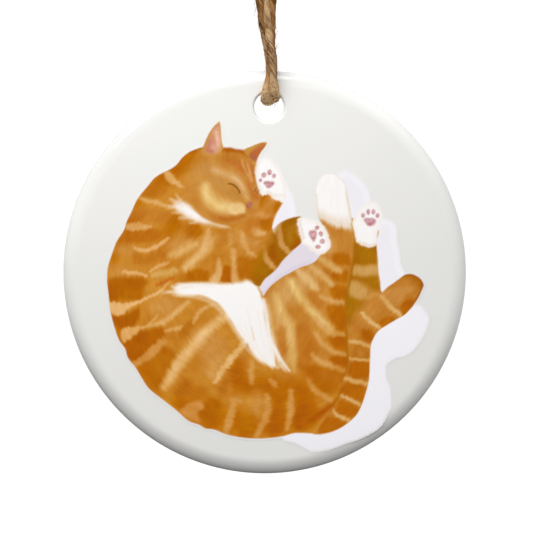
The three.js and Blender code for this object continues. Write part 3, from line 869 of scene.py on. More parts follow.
def belly(c):
    """The white belly, wispy at its left tip and feathered below."""
    c.lie([(-17, -3.2), (-12, -3.2), (-7, -4), (-3, -8), (1, -14), (4, -18)], 0.55)
    c.shape(BELLY_WHITE, WHITE_FUR, soft=0.5, ragged=1.0, fade=ease((c.x + 17.2) / 2.2))
    many(c, (240, 226, 214), 0.5, 0.6, (0.7, (-15.6, -3.6), (-13, -2.9), (-9, -2.7)),
        (0.4, (-4.6, -9.6), (-3, -12), (-1.6, -14.6)), (0.4, (0.2, -9), (1, -12.4), (2.2, -15)))
    many(c, (238, 222, 208), 0.22, 0.5, (0.28, (-3, -6.5), (-2.4, -9), (-1.6, -12)),
        (0.24, (-2.2, -9.5), (-1.2, -13), (0.2, -15.8)), (0.28, (-1, -7), (-0.4, -10), (0.4, -13.5)),
        (0.28, (-3.6, -8.6), (-2.6, -11), (-1.4, -14)))
    many(c, (220, 184, 150), 0.18, 0.4, (0.18, (-2, -9.8), (-1.9, -11), (-1.6, -12.4)))
    c.everywhere()
    many(c, (186, 124, 62), 0.25, 0.8, (0.45, (-2.7, -13.1), (-3.1, -14.3), (-3.8, -15.4)))
    many(c, (248, 238, 228), 0.35, 0.6, (0.5, (-14.6, -3.3), (-15.6, -3.2), (-16.4, -3)),
        (0.5, (-14.8, -3.9), (-16, -4), (-17.1, -4)), (0.4, (-14.2, -2.8), (-15, -2.6), (-15.7, -2.4)))
    many(c, (240, 218, 190), 0.4, 0.6, (0.5, (-18.2, -4.2), (-16.6, -3.9)),
        (0.6, (-16.4, -4.4), (-14, -4.6), (-11.6, -4.9)), (0.6, (-11.4, -4.9), (-9, -6), (-7.4, -7.6)),
        (0.5, (-6.8, -8), (-5.2, -10.4), (-4, -12.2)), (0.4, (-3.8, -12.4), (-2.4, -14.2), (-0.6, -15.8)))


def hind_right(c):
    """The right hind leg, banded olive and ochre."""
    c.lie(HIND_RIGHT_SPINE, 0.22)
    c.shape(HIND_RIGHT, (192, 126, 46), soft=0.15)
    patches(c, 0.6, 0.9, (168, 106, 8),
        [[(15.7, 5.4), (17.6, 5), (19.9, 5), (20.1, 2.2), (17.4, 1.7), (15.6, 1.9)],
        [(15.4, -0.1), (17, -0.4), (20.4, 0), (20.7, -2.6), (19.4, -2.6), (17.6, -1.2), (15.2, -1)],
        [(14.5, -3.4), (16.4, -4.2), (17.4, -5), (16.2, -7), (15, -9), (14.2, -7)]])
    patches(c, 0.55, 0.9, (207, 158, 86),
        [[(15.5, 1.5), (17.6, 1.5), (20.1, 1.7), (20.2, 0.1), (17.4, -0.1), (15.5, 0.1)],
        [(15.3, -1.2), (16.8, -1.5), (18.4, -2.8), (18.3, -4.2), (16.8, -4.3), (15.4, -3.6)]])
    many(c, (206, 146, 68), 0.3, 0.8, (0.5, (20.1, 4.4), (20.2, 1), (20.7, -2)),
        (1.2, (18.6, -4), (20.2, -3.6)))


def paw_hind(c):
    """The right hind leg's white paw with its pads."""
    c.lie(HIND_RIGHT_SPINE, 0.3)
    c.shape(PAW_HIND, WHITE_FUR, soft=0.2, ragged=0.8)
    c.rim((244, 232, 224), width=0.4, strength=0.4)
    many(c, (228, 200, 168), 0.4, 0.6, (0.4, (16.3, 5.7), (18, 5.4), (19.6, 5.4)))
    pads(c, (18.5, 9.55, 0.98, 0.68, 0),
        [(17.3, 10.55, 0.34, 0.4, 0), (18.2, 11.2, 0.34, 0.52, 0), (19.1, 11.25, 0.34, 0.48, 0),
         (19.85, 10.6, 0.3, 0.42, 0)])
    c.stroke([(18.2, 9.1), (19, 9), (19.4, 9.4)], (186, 106, 112), 0.5, 0.3, 0.6)


def hind_left(c):
    """The left hind leg: the banded thigh, the white sock and the dark line along its right edge."""
    c.lie(THIGH_SPINE, 0.28)
    c.shape(HIND_LEFT, (199, 132, 50), soft=0.16, fade=ease((c.z + 21) / 6))
    thigh(c)
    # the white sock, its lower edge of fur
    edge = smooth(SOCK_EDGE)
    above = c.z + c.shift[:, 1] * 1.6 - np.interp(c.x + c.shift[:, 0], edge[:, 0], edge[:, 1])
    c.put(c.mask * ease(0.5 + above / 1.3), (238, 222, 204))
    c.put(c.mask * ease((above - 0.4) / 2.4), WHITE_FUR)
    many(c, (224, 198, 170), 0.35, 0.65, (0.4, (14.2, 15), (14.7, 12.4), (15.1, 10)),
        (0.35, (8.9, 14), (9, 11.6), (9.5, 9.8)))
    many(c, (190, 130, 50), 0.35, 0.9, (0.4, (15.4, 9), (15.6, 8), (15.8, 6.8)))
    c.everywhere()
    many(c, (164, 100, 0), 0.35, 0.85,
        (0.35, (15.9, 6.4), (15.9, 4.6), (15.7, 2), (15.3, -0.6), (14.9, -2.6), (14.6, -5), (14.7, -9)),
        (0.35, (14.7, -9), (15.1, -13), (15.1, -17), (14.4, -19.4), (13.9, -21.6), (13, -23.6)))


def thigh(c):
    """The bands of the near hind leg: broad tones first, then dark and pale ones."""
    many(c, (210, 158, 90), 1.4, 0.8, (4, (2, -4.4), (5, -3), (9, 0.6)), (2.4, (10.6, 6.5), (11.4, 4)))
    many(c, (184, 104, 10), 1.4, 0.85, (3, (13.4, -8), (14, -13), (13.4, -20)))
    many(c, (182, 99, 6), 1.4, 0.85, (4, (7.6, -17), (9, -19.4)), (2, (8.4, -12.4), (7.6, -14)))
    many(c, (216, 167, 98), 1.0, 0.8, (2.6, (2.4, -5), (3.9, -10), (4.9, -15.4)))
    patches(c, 0.5, 0.85, (180, 96, 4), [[(12.2, 3.7), (14.9, 3.4), (15.3, 1.8), (13.6, 1.5), (12.2, 2)],
        [(12.2, 0.4), (14.8, 0.4), (14.6, -1.5), (13, -1.6), (12, -0.6)],
        [(11.8, -2.4), (14.5, -2.1), (14.4, -4.5), (12.2, -4.2)],
        [(11.2, -5.9), (14.3, -5.8), (14.4, -9.8), (13, -9.4), (11.8, -7.8)],
        [(11.4, -11.6), (14.6, -11.4), (14.8, -13.4), (12.6, -12.9)],
        [(12, -14.9), (15, -15), (14.9, -16.6), (12.4, -15.9)],
        [(7.4, -16.6), (10.6, -16.7), (14.8, -17.9), (14.4, -21.6), (11.4, -21), (8.6, -18.8)]])
    patches(c, 0.6, 0.75, (190, 114, 34),
        [[(5.9, -9.6), (7.8, -9), (9, -12), (8.6, -15.4), (6.8, -17), (6.2, -13)],
        [(3.1, -9.4), (4, -9.6), (4.2, -14.6), (3.2, -15.4), (2.5, -12.4)],
        [(7.8, -3.2), (9.6, -3.4), (10.8, -5), (9.8, -6.8), (8.2, -5)], [(5, 0), (6, -0.4), (4.6, -1.2)],
        [(9.8, 0.4), (11.4, -0.4), (12, 0.2), (10.4, 0.9)]])
    many(c, (223, 178, 104), 0.7, 0.9, (1.6, (4.4, -1.2), (5.4, -2.9), (7, -4.9), (9.3, -7.4), (12, -9.9)),
        (1.3, (2.1, -3.9), (3, -6.4), (4.3, -8.4), (5, -12), (5.7, -17.4)))
    many(c, (232, 196, 122), 0.5, 0.7, (0.7, (4.7, -1.6), (5.5, -3.1), (6.5, -4.6)),
        (0.6, (2.6, -5), (3, -6.6)), (0.9, (8.2, -6.4), (9.6, -7.8), (11, -8.9)))
    many(c, (224, 180, 114), 0.5, 0.9, (1.4, (5.7, 0.6), (7.4, -0.9), (9.4, -2.7)),
        (1.2, (8.2, 1.3), (10.3, -0.3), (12, -1.9)), (1.2, (9.6, 2.9), (11, 1.9), (13.4, 0.5)),
        (0.7, (0.8, -6), (1.5, -9.6), (2.4, -14.4), (4.2, -16.7)))
    many(c, (216, 160, 88), 0.4, 0.85, (0.8, (9.9, -3.9), (11.7, -4.7), (14.3, -5.2)),
        (1.1, (9.3, -8), (10.7, -9.3), (12.3, -10.6), (14.4, -10.8)),
        (0.9, (9.2, -10.6), (10.7, -12.7), (12.3, -13.8), (14.9, -14.4)),
        (1.0, (8.9, -14.5), (10.3, -15.8), (12, -16.3), (14.9, -17.3)), (1.2, (10.9, 7.6), (10.7, 5.2)))


def belly_edge(c):
    """Wisps where the thigh's fur lies over the white of the belly."""
    c.lie([(0.4, -5), (1.4, -9), (3, -13.6), (5.4, -18)], 0.5)
    c.everywhere()
    many(c, (250, 245, 241), 0.3, 0.9, (0.7, (-0.1, -4.9), (0.5, -7.6), (1, -10.6)),
        (0.7, (0.6, -9), (1.5, -12.4), (3, -15.4)), (0.4, (2.2, -13.4), (3.6, -15.9), (4.9, -17.5)))
    many(c, (248, 236, 222), 0.4, 0.65, (0.5, (1.9, -13.6), (2.8, -15.8), (3.9, -17.3)),
        (0.4, (1.2, -13.8), (1.9, -15.8), (2.9, -17.2)), (0.35, (0.2, -14.4), (0.8, -15.8), (1.7, -16.9)))
    many(c, (236, 214, 192), 0.22, 0.5, (0.25, (0.3, -5), (0.9, -7.4), (1.3, -9.6)),
        (0.22, (0, -6.4), (0.4, -9), (1, -11.6)), (0.25, (1.4, -10), (2.1, -12.4), (3.2, -14.6)),
        (0.22, (2.4, -14.4), (3.4, -16.2), (4.4, -17.6)))
    many(c, (214, 160, 100), 0.2, 0.45, (0.25, (0.7, -4.9), (1.3, -7), (1.7, -9.2)),
        (0.22, (2.2, -11.6), (3.2, -13.8), (4.4, -16)))


def tail(c):
    """The tail, with its dark and pale bands and its darker tip."""
    c.lie(TAIL_SPINE, 0.24)
    c.shape(TAIL, (196, 127, 46), soft=0.14)
    many(c, (184, 112, 26), 0.9, 0.75, (3.4, (18, -11), (17.4, -14), (16.6, -20), (14.4, -24.6)))
    many(c, (206, 140, 64), 0.8, 0.7, (1.8, (22.6, -3.4), (20, -5.6), (17.6, -9)),
        (1.4, (17.4, -13.6), (17.4, -14)))
    patches(c, 0.45, 0.9, (181, 98, 8),
        [[(24.7, -4.8), (26.6, -4.1), (26.9, -5.6), (25.2, -7.2), (24.4, -6.3)],
        [(20.6, -8.3), (22.7, -7.3), (23.4, -8.2), (21.2, -9.7), (20.2, -9.5)],
        [(17.8, -9.7), (19.6, -10.2), (19.6, -11.9), (17.8, -11.3)],
        [(15.8, -15.8), (19.2, -15.8), (19.1, -18.1), (15.6, -18)],
        [(14.8, -19.5), (18.7, -20.2), (18.2, -22.6), (15.6, -21.7), (14.2, -21)],
        [(13.8, -22.6), (17.5, -23.9), (16.5, -25.4), (13.6, -24.6)],
        [(9.6, -28), (12.5, -25.4), (15.4, -27), (12.6, -28.6)]])
    patches(c, 0.5, 0.8, (208, 148, 78),
        [[(20.4, -3.5), (22.2, -2.4), (24.8, -2), (25.2, -3.6), (23.9, -5.2), (21.8, -5.3)],
        [(25.2, -1.8), (26.6, -1.8), (26.2, -3), (25, -3.2)]])
    many(c, (177, 104, 14), 0.6, 0.85,
        (1.5, (22.2, -1.2), (24.4, 0.1), (26.6, 0.1), (28, -1.3), (28.4, -3.4), (27.2, -5.4)))
    many(c, (152, 78, 4), 0.35, 0.7,
        (0.5, (24.4, -0.1), (25.6, 0.3), (27, 0), (28.2, -0.9), (28.3, -2), (27.8, -3.3), (26.8, -4.9)))
    many(c, (180, 108, 22), 0.4, 0.7, (0.6, (19.2, -3.4), (17.2, -6), (15.9, -8.6)))
    many(c, (222, 174, 106), 0.3, 0.9, (0.85, (20.9, -3.8), (23, -6), (25, -7.5)),
        (0.8, (17.3, -6.6), (19, -8.3), (21, -9.6)), (0.75, (15.5, -11.9), (17.3, -12.2), (19.4, -12.8)),
        (0.8, (14.6, -18.6), (16.7, -19), (19.1, -19.6)))
    many(c, (226, 183, 118), 0.28, 0.85, (0.5, (15.3, -15), (17.3, -15.2), (19.3, -15.2)),
        (0.55, (13.9, -21.7), (15.3, -22), (16.7, -22.7), (18, -23.4)),
        (0.6, (12.7, -24.2), (13.7, -25.2), (16, -26.2)), (0.35, (17.6, -7), (19, -8.2), (20.4, -9.1)),
        (0.35, (22, -5), (23.2, -6.1), (24.4, -7)))
    many(c, (176, 84, 4), 0.5, 0.7, (1.0, (12.8, -23.6), (11.4, -25), (9.8, -26.6)))


def foreleg(c):
    """The dark lower foreleg with its two pale bands."""
    c.lie(FORELEG_SPINE, 0.22)
    c.shape(FORELEG, (165, 102, 8), soft=0.15, fade=ease((c.x - 0.42 * c.z + 2.6) / 2.2))
    many(c, (166, 84, 2), 0.7, 0.8, (1.4, (1.3, 4.6), (1.4, 3), (2.2, 2)), (1.2, (5.6, 5.8), (5, 4.6)))
    many(c, (178, 118, 34), 0.7, 0.6, (0.9, (5.2, 9), (4.2, 7), (4.6, 5.6)), (0.9, (0.7, 6.6), (0.5, 4.4)))
    many(c, (209, 154, 88), 0.3, 0.9, (1.05, (2.2, 8.4), (2.5, 6.9), (2.7, 5.7), (3.4, 4.5), (4.8, 3.2)),
        (1.0, (-0.3, 4.3), (0, 3), (0.8, 1.6), (2.1, 0.4)))
    many(c, (190, 132, 54), 0.3, 0.8, (0.5, (5.9, 9.4), (5.5, 8), (6.2, 6.2)))


def paw_fore(c):
    """The foreleg's white paw with its pads."""
    c.lie(FORELEG_SPINE, 0.3)
    c.shape(PAW_FORE, WHITE_FUR, soft=0.2, ragged=0.9)
    c.rim((242, 226, 214), width=0.4, strength=0.45)
    many(c, (226, 200, 176), 0.35, 0.55, (0.4, (6, 9.2), (6.4, 7.6), (6.7, 6)))
    pads(c, (8.45, 6.85, 0.64, 1.0, 0.15),
        [(9.15, 8.15, 0.4, 0.36, 0.6), (9.85, 7.1, 0.34, 0.46, 0.3), (10.15, 5.75, 0.42, 0.44, 0),
         (9.4, 4.75, 0.46, 0.38, 0)])


def chest(c):
    """The white tuft under the chin, feathered along its length."""
    c.lie([(-17.6, 12.4), (-14.4, 10.9), (-11, 9.4), (-6, 7.8)], 0.42)
    c.everywhere()
    c.patch([(-16.6, 11.3), (-15.7, 12.4), (-14, 11.9), (-12, 10.2), (-10, 9.1), (-8, 8.3), (-7, 7.9),
         (-9, 7.9), (-11.4, 8.3), (-13.4, 8.9), (-15.2, 9.7)], (234, 206, 178), 0.6, 0.8, 0.8)
    c.patch([(-16, 11.2), (-15.1, 12), (-14, 11.6), (-12.6, 10.4), (-11, 9.3), (-9.6, 8.6), (-11.4, 8.6),
         (-13, 9.1), (-14.8, 10)], (247, 238, 233), 0.4, 0.9)
    many(c, (253, 249, 247), 0.5, 0.85, (0.9, (-14.6, 11), (-13.4, 10.2), (-12, 9.4)))
    many(c, (242, 224, 208), 0.35, 0.55, (0.6, (-15, 11.6), (-15.6, 12.4), (-16, 13.2)),
        (0.6, (-15.4, 11.4), (-16.3, 12.1), (-17, 12.5)), (0.5, (-15.8, 11), (-16.6, 11.2), (-17.3, 11.3)),
        (0.5, (-15, 10.4), (-15.9, 10.3), (-16.6, 10.2)), (0.5, (-13.6, 9.6), (-14.8, 9.3), (-15.6, 9.2)),
        (0.5, (-11.8, 9), (-12.8, 8.5), (-13.6, 8.4)), (0.5, (-9.4, 8.5), (-8, 8.1), (-6.4, 7.8)))


def arm(c):
    """The upper foreleg and the white paw that lies by the face."""
    c.lie([(-2, 6), (0, 10), (1.5, 14), (1, 20)], 0.3)
    c.shape(ARM, (200, 128, 46), soft=0.25)
    c.mask = c.mask * ease((c.x + 3.4) / 2)
    patches(c, 0.5, 0.8, (186, 106, 8), [[(-0.9, 9.2), (0.9, 9.6), (1.1, 7.4), (-0.4, 7.4)],
        [(1.6, 12.4), (2.9, 12.6), (1.9, 10.4), (1.2, 10.6)],
        [(-1.2, 13.6), (-0.2, 13.6), (-0.8, 11.6), (-1.8, 11.8)]])
    many(c, (220, 160, 94), 0.6, 0.8, (1.0, (-1.8, 10.2), (0.4, 10)), (0.6, (0.8, 13.2), (1.6, 13.2)))
    many(c, (226, 178, 114), 0.5, 0.85, (1.3, (-2.6, 7.2), (-1.4, 7), (-0.4, 6.8)))
    c.shape(PAW_ARM, WHITE_FUR, soft=0.2, ragged=0.9)
    c.rim((243, 228, 220), width=0.35, strength=0.45)
    many(c, (236, 214, 196), 0.4, 0.5, (0.5, (0, 14.2), (1.6, 13.8), (3, 13.8)))
    pads(c, (0.35, 15.7, 0.88, 0.6, 0),
        [(-1.2, 16.35, 0.28, 0.34, 0), (-0.58, 17.3, 0.42, 0.44, 0), (0.4, 17.8, 0.38, 0.48, 0),
         (1.2, 17.2, 0.34, 0.42, 0)])


def ears(c):
    """Both ears, pink inside."""
    c.lie(HEAD_SPINE, 0.1)
    c.shape(EAR_LEFT, (203, 152, 72), soft=0.14, fade=ease((c.z - 20) / 1.6))
    c.patch(EAR_LEFT_PINK, (216, 156, 124), 0.3)
    many(c, (186, 108, 82), 0.55, 0.85, (0.9, (-10.7, 21.3), (-9.9, 21.1)),
        (0.5, (-10.7, 21.8), (-10.3, 23.2)))
    many(c, (236, 188, 158), 0.45, 0.8, (0.7, (-9.3, 24.6), (-9, 23.2), (-8.8, 22.4)))
    many(c, (198, 122, 92), 0.35, 0.6, (0.4, (-9.8, 25.2), (-9, 26)), (0.5, (-9.8, 23.8), (-9.6, 22.6)))
    c.shape(EAR_RIGHT, (204, 152, 72), soft=0.14, fade=ease((c.x + 5) / 1.2))
    c.patch([(-3.4, 20.9), (-2.3, 21.9), (-0.9, 22.9), (-0.5, 22.7), (-1.4, 21), (-2.1, 19.6),
         (-2.9, 19.8)], (186, 102, 56), 0.4, 0.95)
    many(c, (166, 100, 78), 0.4, 0.8, (0.6, (-2.7, 20.8), (-2.3, 20.1)))
    many(c, (206, 132, 86), 0.25, 0.6, (0.3, (-2, 21.8), (-1, 22.6)))


def head(c):
    """The head: broad tones, forehead bands, the pale cheek and muzzle, the nose and the closed eyes."""
    c.lie(HEAD_SPINE, 0.22)
    c.shape(HEAD, (200, 136, 58), soft=0.3, fade=ease((c.x + 15) / 4.5))
    many(c, (200, 146, 78), 1.0, 0.8, (2.6, (-12, 18), (-10, 18.4)), (1.6, (-9.4, 16.4), (-8, 15.2)))
    many(c, (190, 118, 40), 0.9, 0.7, (1.6, (-13.4, 14.4), (-12.6, 11.6)), (1.4, (-8.8, 20.2), (-6, 19.8)))
    many(c, (175, 91, 4), 0.45, 0.9, (1.0, (-9.4, 21.8), (-7, 21.7), (-4.4, 21.5), (-3.4, 20.8)))
    many(c, (194, 112, 46), 0.5, 0.85, (0.9, (-6.8, 19.8), (-5.2, 18.6), (-4, 17.4)),
        (0.9, (-3, 19.8), (-2.6, 17.6), (-2.4, 15.6)), (0.8, (-3.4, 16), (-2.9, 14.4), (-2.4, 13.2)),
        (0.7, (-1.9, 14.4), (-1.7, 13)))
    many(c, (220, 174, 116), 0.8, 0.8,
        (1.4, (-9.6, 17.9), (-7.4, 17.3), (-5.6, 16.4), (-4.4, 15), (-3.5, 13.2)))
    many(c, (228, 188, 134), 0.4, 0.5, (0.5, (-6.4, 16.9), (-5, 16), (-4, 14.4)))
    many(c, (221, 167, 110), 0.3, 0.85, (0.4, (-4.6, 20), (-3.9, 18.4), (-3.4, 17.2)),
        (0.4, (-3.6, 19.2), (-3.1, 17.6), (-2.8, 16.2)))
    many(c, (188, 101, 36), 0.25, 0.8, (0.3, (-4.1, 19.4), (-3.5, 17.8)), (0.3, (-5.2, 19.6), (-4.5, 18)))
    many(c, (197, 143, 68), 0.6, 0.8, (1.1, (-7.4, 14.8), (-5.8, 13.7), (-4.5, 12.9)))
    many(c, (222, 175, 105), 1.2, 0.8, (2.8, (-10.8, 14.6), (-9.8, 12.9), (-8, 11.8), (-5, 11.4)))
    many(c, (234, 197, 126), 0.9, 0.9, (1.9, (-11, 14.8), (-10.2, 12.8), (-8.6, 11.6), (-6.6, 11.1)))
    many(c, (241, 208, 141), 0.6, 0.7, (0.7, (-11, 14), (-10.2, 12.8), (-9, 11.9), (-7.8, 11.4)))
    c.patch([(-6.9, 11), (-6.2, 12), (-5, 12.2), (-4.1, 12), (-3.7, 11.2), (-4, 10.5), (-5, 10.2),
         (-6.4, 10.2)], (235, 200, 138), 0.35, 0.95)
    many(c, (184, 104, 30), 0.5, 0.85, (0.9, (-8.2, 9.5), (-6.8, 9.2), (-5.2, 9.5), (-3.9, 9.9)))
    many(c, (198, 126, 56), 0.6, 0.7, (0.5, (-12.8, 12), (-11.8, 11)), (0.7, (-3.3, 10.4), (-2.4, 11)))
    # the nose and the two closed eyes
    c.patch([(-3.6, 12.15), (-2.9, 12.5), (-2.35, 12.35), (-2.7, 11.75), (-3.1, 11.2), (-3.5, 11.6)],
        (178, 110, 98), 0.2, 0.8)
    many(c, (152, 82, 62), 0.14, 0.7, (0.14, (-3.62, 12), (-3.45, 11.5), (-3.1, 11.15)))
    many(c, (88, 52, 14), 0.12, 1.0,
        (0.2, (-6.95, 15.65), (-6.3, 15.58), (-5.8, 15.3), (-5.3, 14.9), (-5.05, 14.5), (-4.85, 14)))
    many(c, (116, 74, 22), 0.12, 0.85, (0.18, (-1.2, 14.9), (-1.5, 14.5), (-1.6, 14)),
        (0.16, (-1.8, 15.1), (-2.1, 14.6), (-2.2, 14.2)))


def fur_grain(c):
    """Blots, tufts and fine hairs over everything the cat covers; darker ones are also deeper in colour."""
    along, across = c.fur[:, 0], c.fur[:, 1]
    blots = noise(c.x / 2.3 + 70, c.z / 2.3 + 20) + 0.6 * noise(c.x / 1.1 + 33, c.z / 1.1 + 40) - 0.8
    tufts = noise(along / 2.6 + 15, across / 0.7 + 30) + 0.5 * noise(along / 1.3 + 45, across / 0.35) - 0.75
    hairs = noise(along / 1.5 + 5, across / 0.2 + 60) + 0.6 * noise(along / 0.8 + 25, across / 0.12) - 0.8
    shown = c.grain * (c.cover > 0.5)
    depth = (c.rgb[:, 0] - c.rgb[:, 2]) / 150
    lying = (tufts * TUFT_STRENGTH + hairs * HAIR_STRENGTH) * depth * shown
    uneven = lying + blots * depth * (c.cover > 0.5)
    c.rgb *= 1 + uneven[:, None] * UNEVEN_TINT
    c.rgb *= 1 + HAIR_LIGHT * (hairs * shown)[:, None]
    np.clip(c.rgb, 0, 255, out=c.rgb)


def paint(c):
    """All layers, from the back to the front."""
    shadows(c)
    body(c)
    belly(c)
    hind_right(c)
    paw_hind(c)
    hind_left(c)
    belly_edge(c)
    tail(c)
    foreleg(c)
    paw_fore(c)
    chest(c)
    arm(c)
    head(c)
    ears(c)
    fur_grain(c)


# ---- materials ----
def linear(colour):
    """A screen colour from 0 to 255 as the linear colour that Blender works in."""
    c = np.asarray(colour, float) / 255
    return np.where(c <= 0.04045, c / 12.92, ((c + 0.055) / 1.055) ** 2.4)


def rgba(colour):
    return (*linear(colour), 1.0)


class Look:
    """A node material with short ways to add and join nodes."""

    def __init__(self, name):
        self.material = bpy.data.materials.new(name)
        self.material.use_nodes = True
        self.tree = self.material.node_tree
        self.shader = self.tree.nodes["Principled BSDF"]

    def node(self, kind, inputs=(), **settings):
        node = self.tree.nodes.new("ShaderNode" + kind)
        for key, value in settings.items():
            setattr(node, key, value)
        for key, value in dict(inputs).items():
            self.feed(node.inputs[key], value)
        return node

    def feed(self, socket, value):
        if isinstance(value, bpy.types.NodeSocket):
            self.tree.links.new(value, socket)
        else:
            socket.default_value = value

    def set(self, **values):
        for key, value in values.items():
            self.feed(self.shader.inputs[key.replace("_", " ")], value)

    def attribute(self, name, kind="Fac"):
        return self.node("Attribute", attribute_name=name).outputs[kind]

    def math(self, operation, a, b=0.0):
        return self.node("Math", {0: a, 1: b}, operation=operation).outputs[0]

    def noise(self, where, scale, detail=3.0, roughness=0.5):
        inputs = {"Vector": where, "Scale": scale, "Detail": detail, "Roughness": roughness}
        return self.node("TexNoise", inputs).outputs["Fac"]

    def scaled(self, where, by):
        return self.node("VectorMath", {0: where, 1: by}, operation="MULTIPLY").outputs[0]

    def ramp(self, value, *stops):
        node = self.node("ValToRGB", {"Fac": value})
        points = node.color_ramp.elements
        while len(points) < len(stops):
            points.new(0.5)
        for point, (at, colour) in zip(points, stops):
            point.position = at
            point.color = rgba(colour) if len(colour) == 3 else colour
        return node.outputs["Color"]

    def grey(self, value, *stops):
        return self.ramp(value, *[(at, (level, level, level, 1)) for at, level in stops])

    def mix(self, amount, a, b, blend="MIX"):
        node = self.node("Mix", data_type="RGBA", blend_type=blend)
        self.feed(node.inputs[0], amount)
        self.feed(node.inputs[6], a if isinstance(a, bpy.types.NodeSocket) else rgba(a))
        self.feed(node.inputs[7], b if isinstance(b, bpy.types.NodeSocket) else rgba(b))
        return node.outputs[2]

    def bump(self, height, strength, distance, onto=None):
        inputs = {"Height": height, "Strength": strength, "Distance": distance}
        if onto:
            inputs["Normal"] = onto
        return self.node("Bump", inputs).outputs["Normal"]


GLAZE_WHITE = (232, 231, 228)
GLAZE_SHADE = (230, 230, 227)
# painted shade: the glaze's greyer colour over the brightly lit upper rim
GLAZE_RIM_SHADE = (211, 211, 209)


def glaze_surface(look):
    """What the disc and the picture fused into it share: a glossy glaze that is very slightly uneven."""
    where = look.node("TexCoord").outputs["Object"]
    swell = look.noise(where, 70.0, 1.0, 0.4)
    specks = look.noise(where, 2600.0, 2.0, 0.5)
    roughness = look.grey(look.noise(where, 160.0, 2.0), (0.3, 0.085), (0.7, 0.13))
    bumps = look.bump(swell, 0.06, 0.0012)
    look.set(Roughness=roughness, Normal=look.bump(specks, 0.02, 0.00002, bumps))
    look.set(IOR=1.5, Coat_Weight=0.35, Coat_Roughness=0.03)
    return where


def glaze_colour(look, where):
    return look.ramp(look.noise(where, 45.0, 2.0), (0.35, GLAZE_WHITE), (0.7, GLAZE_SHADE))


def glaze_look():
    look = Look("glaze")
    plain = glaze_colour(look, glaze_surface(look))
    # painted shade: the glaze goes greyer over the upper rim, where the key light falls brightest
    look.set(Base_Color=look.mix(look.attribute("upper_rim_shade"), plain, GLAZE_RIM_SHADE))
    return look.material


def print_look():
    """The painting under the glaze, with fine hairs along the fur."""
    look = Look("print")
    where = glaze_surface(look)
    fur = look.attribute("fur", "Vector")
    hairs = look.noise(look.scaled(fur, (0.7, 7.0, 1.0)), 1.0, 3.0, 0.6)
    paint = look.attribute("paint", "Color")
    paint = look.mix(look.attribute("hairy"), paint, look.grey(hairs, (0.32, 0.93), (0.68, 1.07)), "MULTIPLY")
    cover = look.attribute("cover")
    look.set(Base_Color=look.mix(cover, glaze_colour(look, where), paint))
    # the ink swallows nearly all of the glaze's mirror light, so its colours stay full
    look.set(Specular_IOR_Level=0.0, Coat_Weight=look.grey(cover, (0.0, 1.0), (1.0, 0.08)))
    return look.material


def jute_look():
    look = Look("jute")
    fibre = look.attribute("fibre", "Vector")
    parts = look.node("SeparateXYZ", {0: fibre})
    wear = look.node("SeparateXYZ", {0: look.attribute("wear", "Vector")}).outputs
    crumble, stained = wear["X"], wear["Y"]
    streaks = look.noise(look.scaled(fibre, (0.35, 3.2, 11.0)), 1.0, 4.0, 0.6)
    fine = look.noise(look.scaled(fibre, (0.9, 9.0, 5.0)), 1.0, 3.0, 0.65)
    patches = look.noise(look.scaled(fibre, (0.22, 0.5, 7.0)), 1.0, 2.0, 0.5)
    tan = look.ramp(streaks, (0.3, (146, 104, 60)), (0.46, (182, 146, 104)), (0.64, (210, 180, 142)))
    brown = look.ramp(streaks, (0.32, (96, 56, 18)), (0.46, (160, 112, 62)), (0.66, (192, 150, 102)))
    colour = look.mix(parts.outputs["Z"], tan, brown)
    dark = look.math("MULTIPLY", look.grey(patches, (0.52, 0.0), (0.66, 1.0)), 0.8)
    colour = look.mix(dark, colour, (88, 48, 12))
    hairs = look.grey(fine, (0.36, 0.62), (0.62, 1.12))
    colour = look.mix(0.8, colour, hairs, "MULTIPLY")
    blotches = look.noise(look.scaled(fibre, (0.5, 1.8, 7.0)), 1.0, 4.0, 0.65)
    stains = look.math("MULTIPLY", look.grey(blotches, (0.46, 1.0), (0.54, 0.0)), stained)
    colour = look.mix(look.math("MULTIPLY", stains, 0.92), colour, (62, 34, 8))
    where = look.node("TexCoord").outputs["Object"]
    crumbs = look.grey(look.noise(where, 2200.0, 3.0, 0.6), (0.38, 1.0), (0.48, 0.0))
    colour = look.mix(look.math("MULTIPLY", crumble, 0.92), colour, (255, 216, 164))
    spots = look.math("MULTIPLY", crumbs, crumble)
    colour = look.mix(look.math("MULTIPLY", spots, 0.9), colour, (112, 56, 12))
    normal = look.bump(streaks, 0.7, 0.0004)
    look.set(Base_Color=colour, Roughness=look.grey(fine, (0.3, 0.8), (0.7, 0.95)))
    look.set(Normal=look.bump(fine, 0.6, 0.00015, normal))
    look.set(Specular_IOR_Level=0.03)
    look.set(Sheen_Weight=0.06, Sheen_Roughness=0.5, Sheen_Tint=rgba((224, 184, 136)))
    return look.material


# ---- the picture's film: a thin closed sheet in the glaze, fine enough to carry the painting ----
FILM_LOW = (-29.2, -32.4)
FILM_HIGH = (30.4, 27.6)
FILM_CELL = 0.17
FILM_SNAP = FILM_CELL * 0.55  # points this near to the outline are drawn onto it
FILM_MARGIN = 0.35  # clear glaze around the painting
FILM_FRONT = 0.03
FILM_BACK = 0.003
# Painted light: the ink is painted a little lighter downwards, where less of the studio light reaches it.
PRINT_LEVEL = 1.02
PRINT_PAINTED_LIGHT_DOWN = 0.0037
# The mirror light of the ink's thin coat adds about this much to every colour; the paint has that much less.
PRINT_GLEAM = 0.003
PRINT_BRIGHTEST = 0.98
WHITE_HAIRS = 0.3  # how much of the fine hairs the white fur shows


def film_grid():
    """The painting on an even grid of points."""
    xs = np.arange(FILM_LOW[0], FILM_HIGH[0], FILM_CELL)
    zs = np.arange(FILM_LOW[1], FILM_HIGH[1], FILM_CELL)
    x, z = np.meshgrid(xs, zs)
    canvas = Canvas(x.ravel(), z.ravel())
    paint(canvas)
    return canvas, x.shape


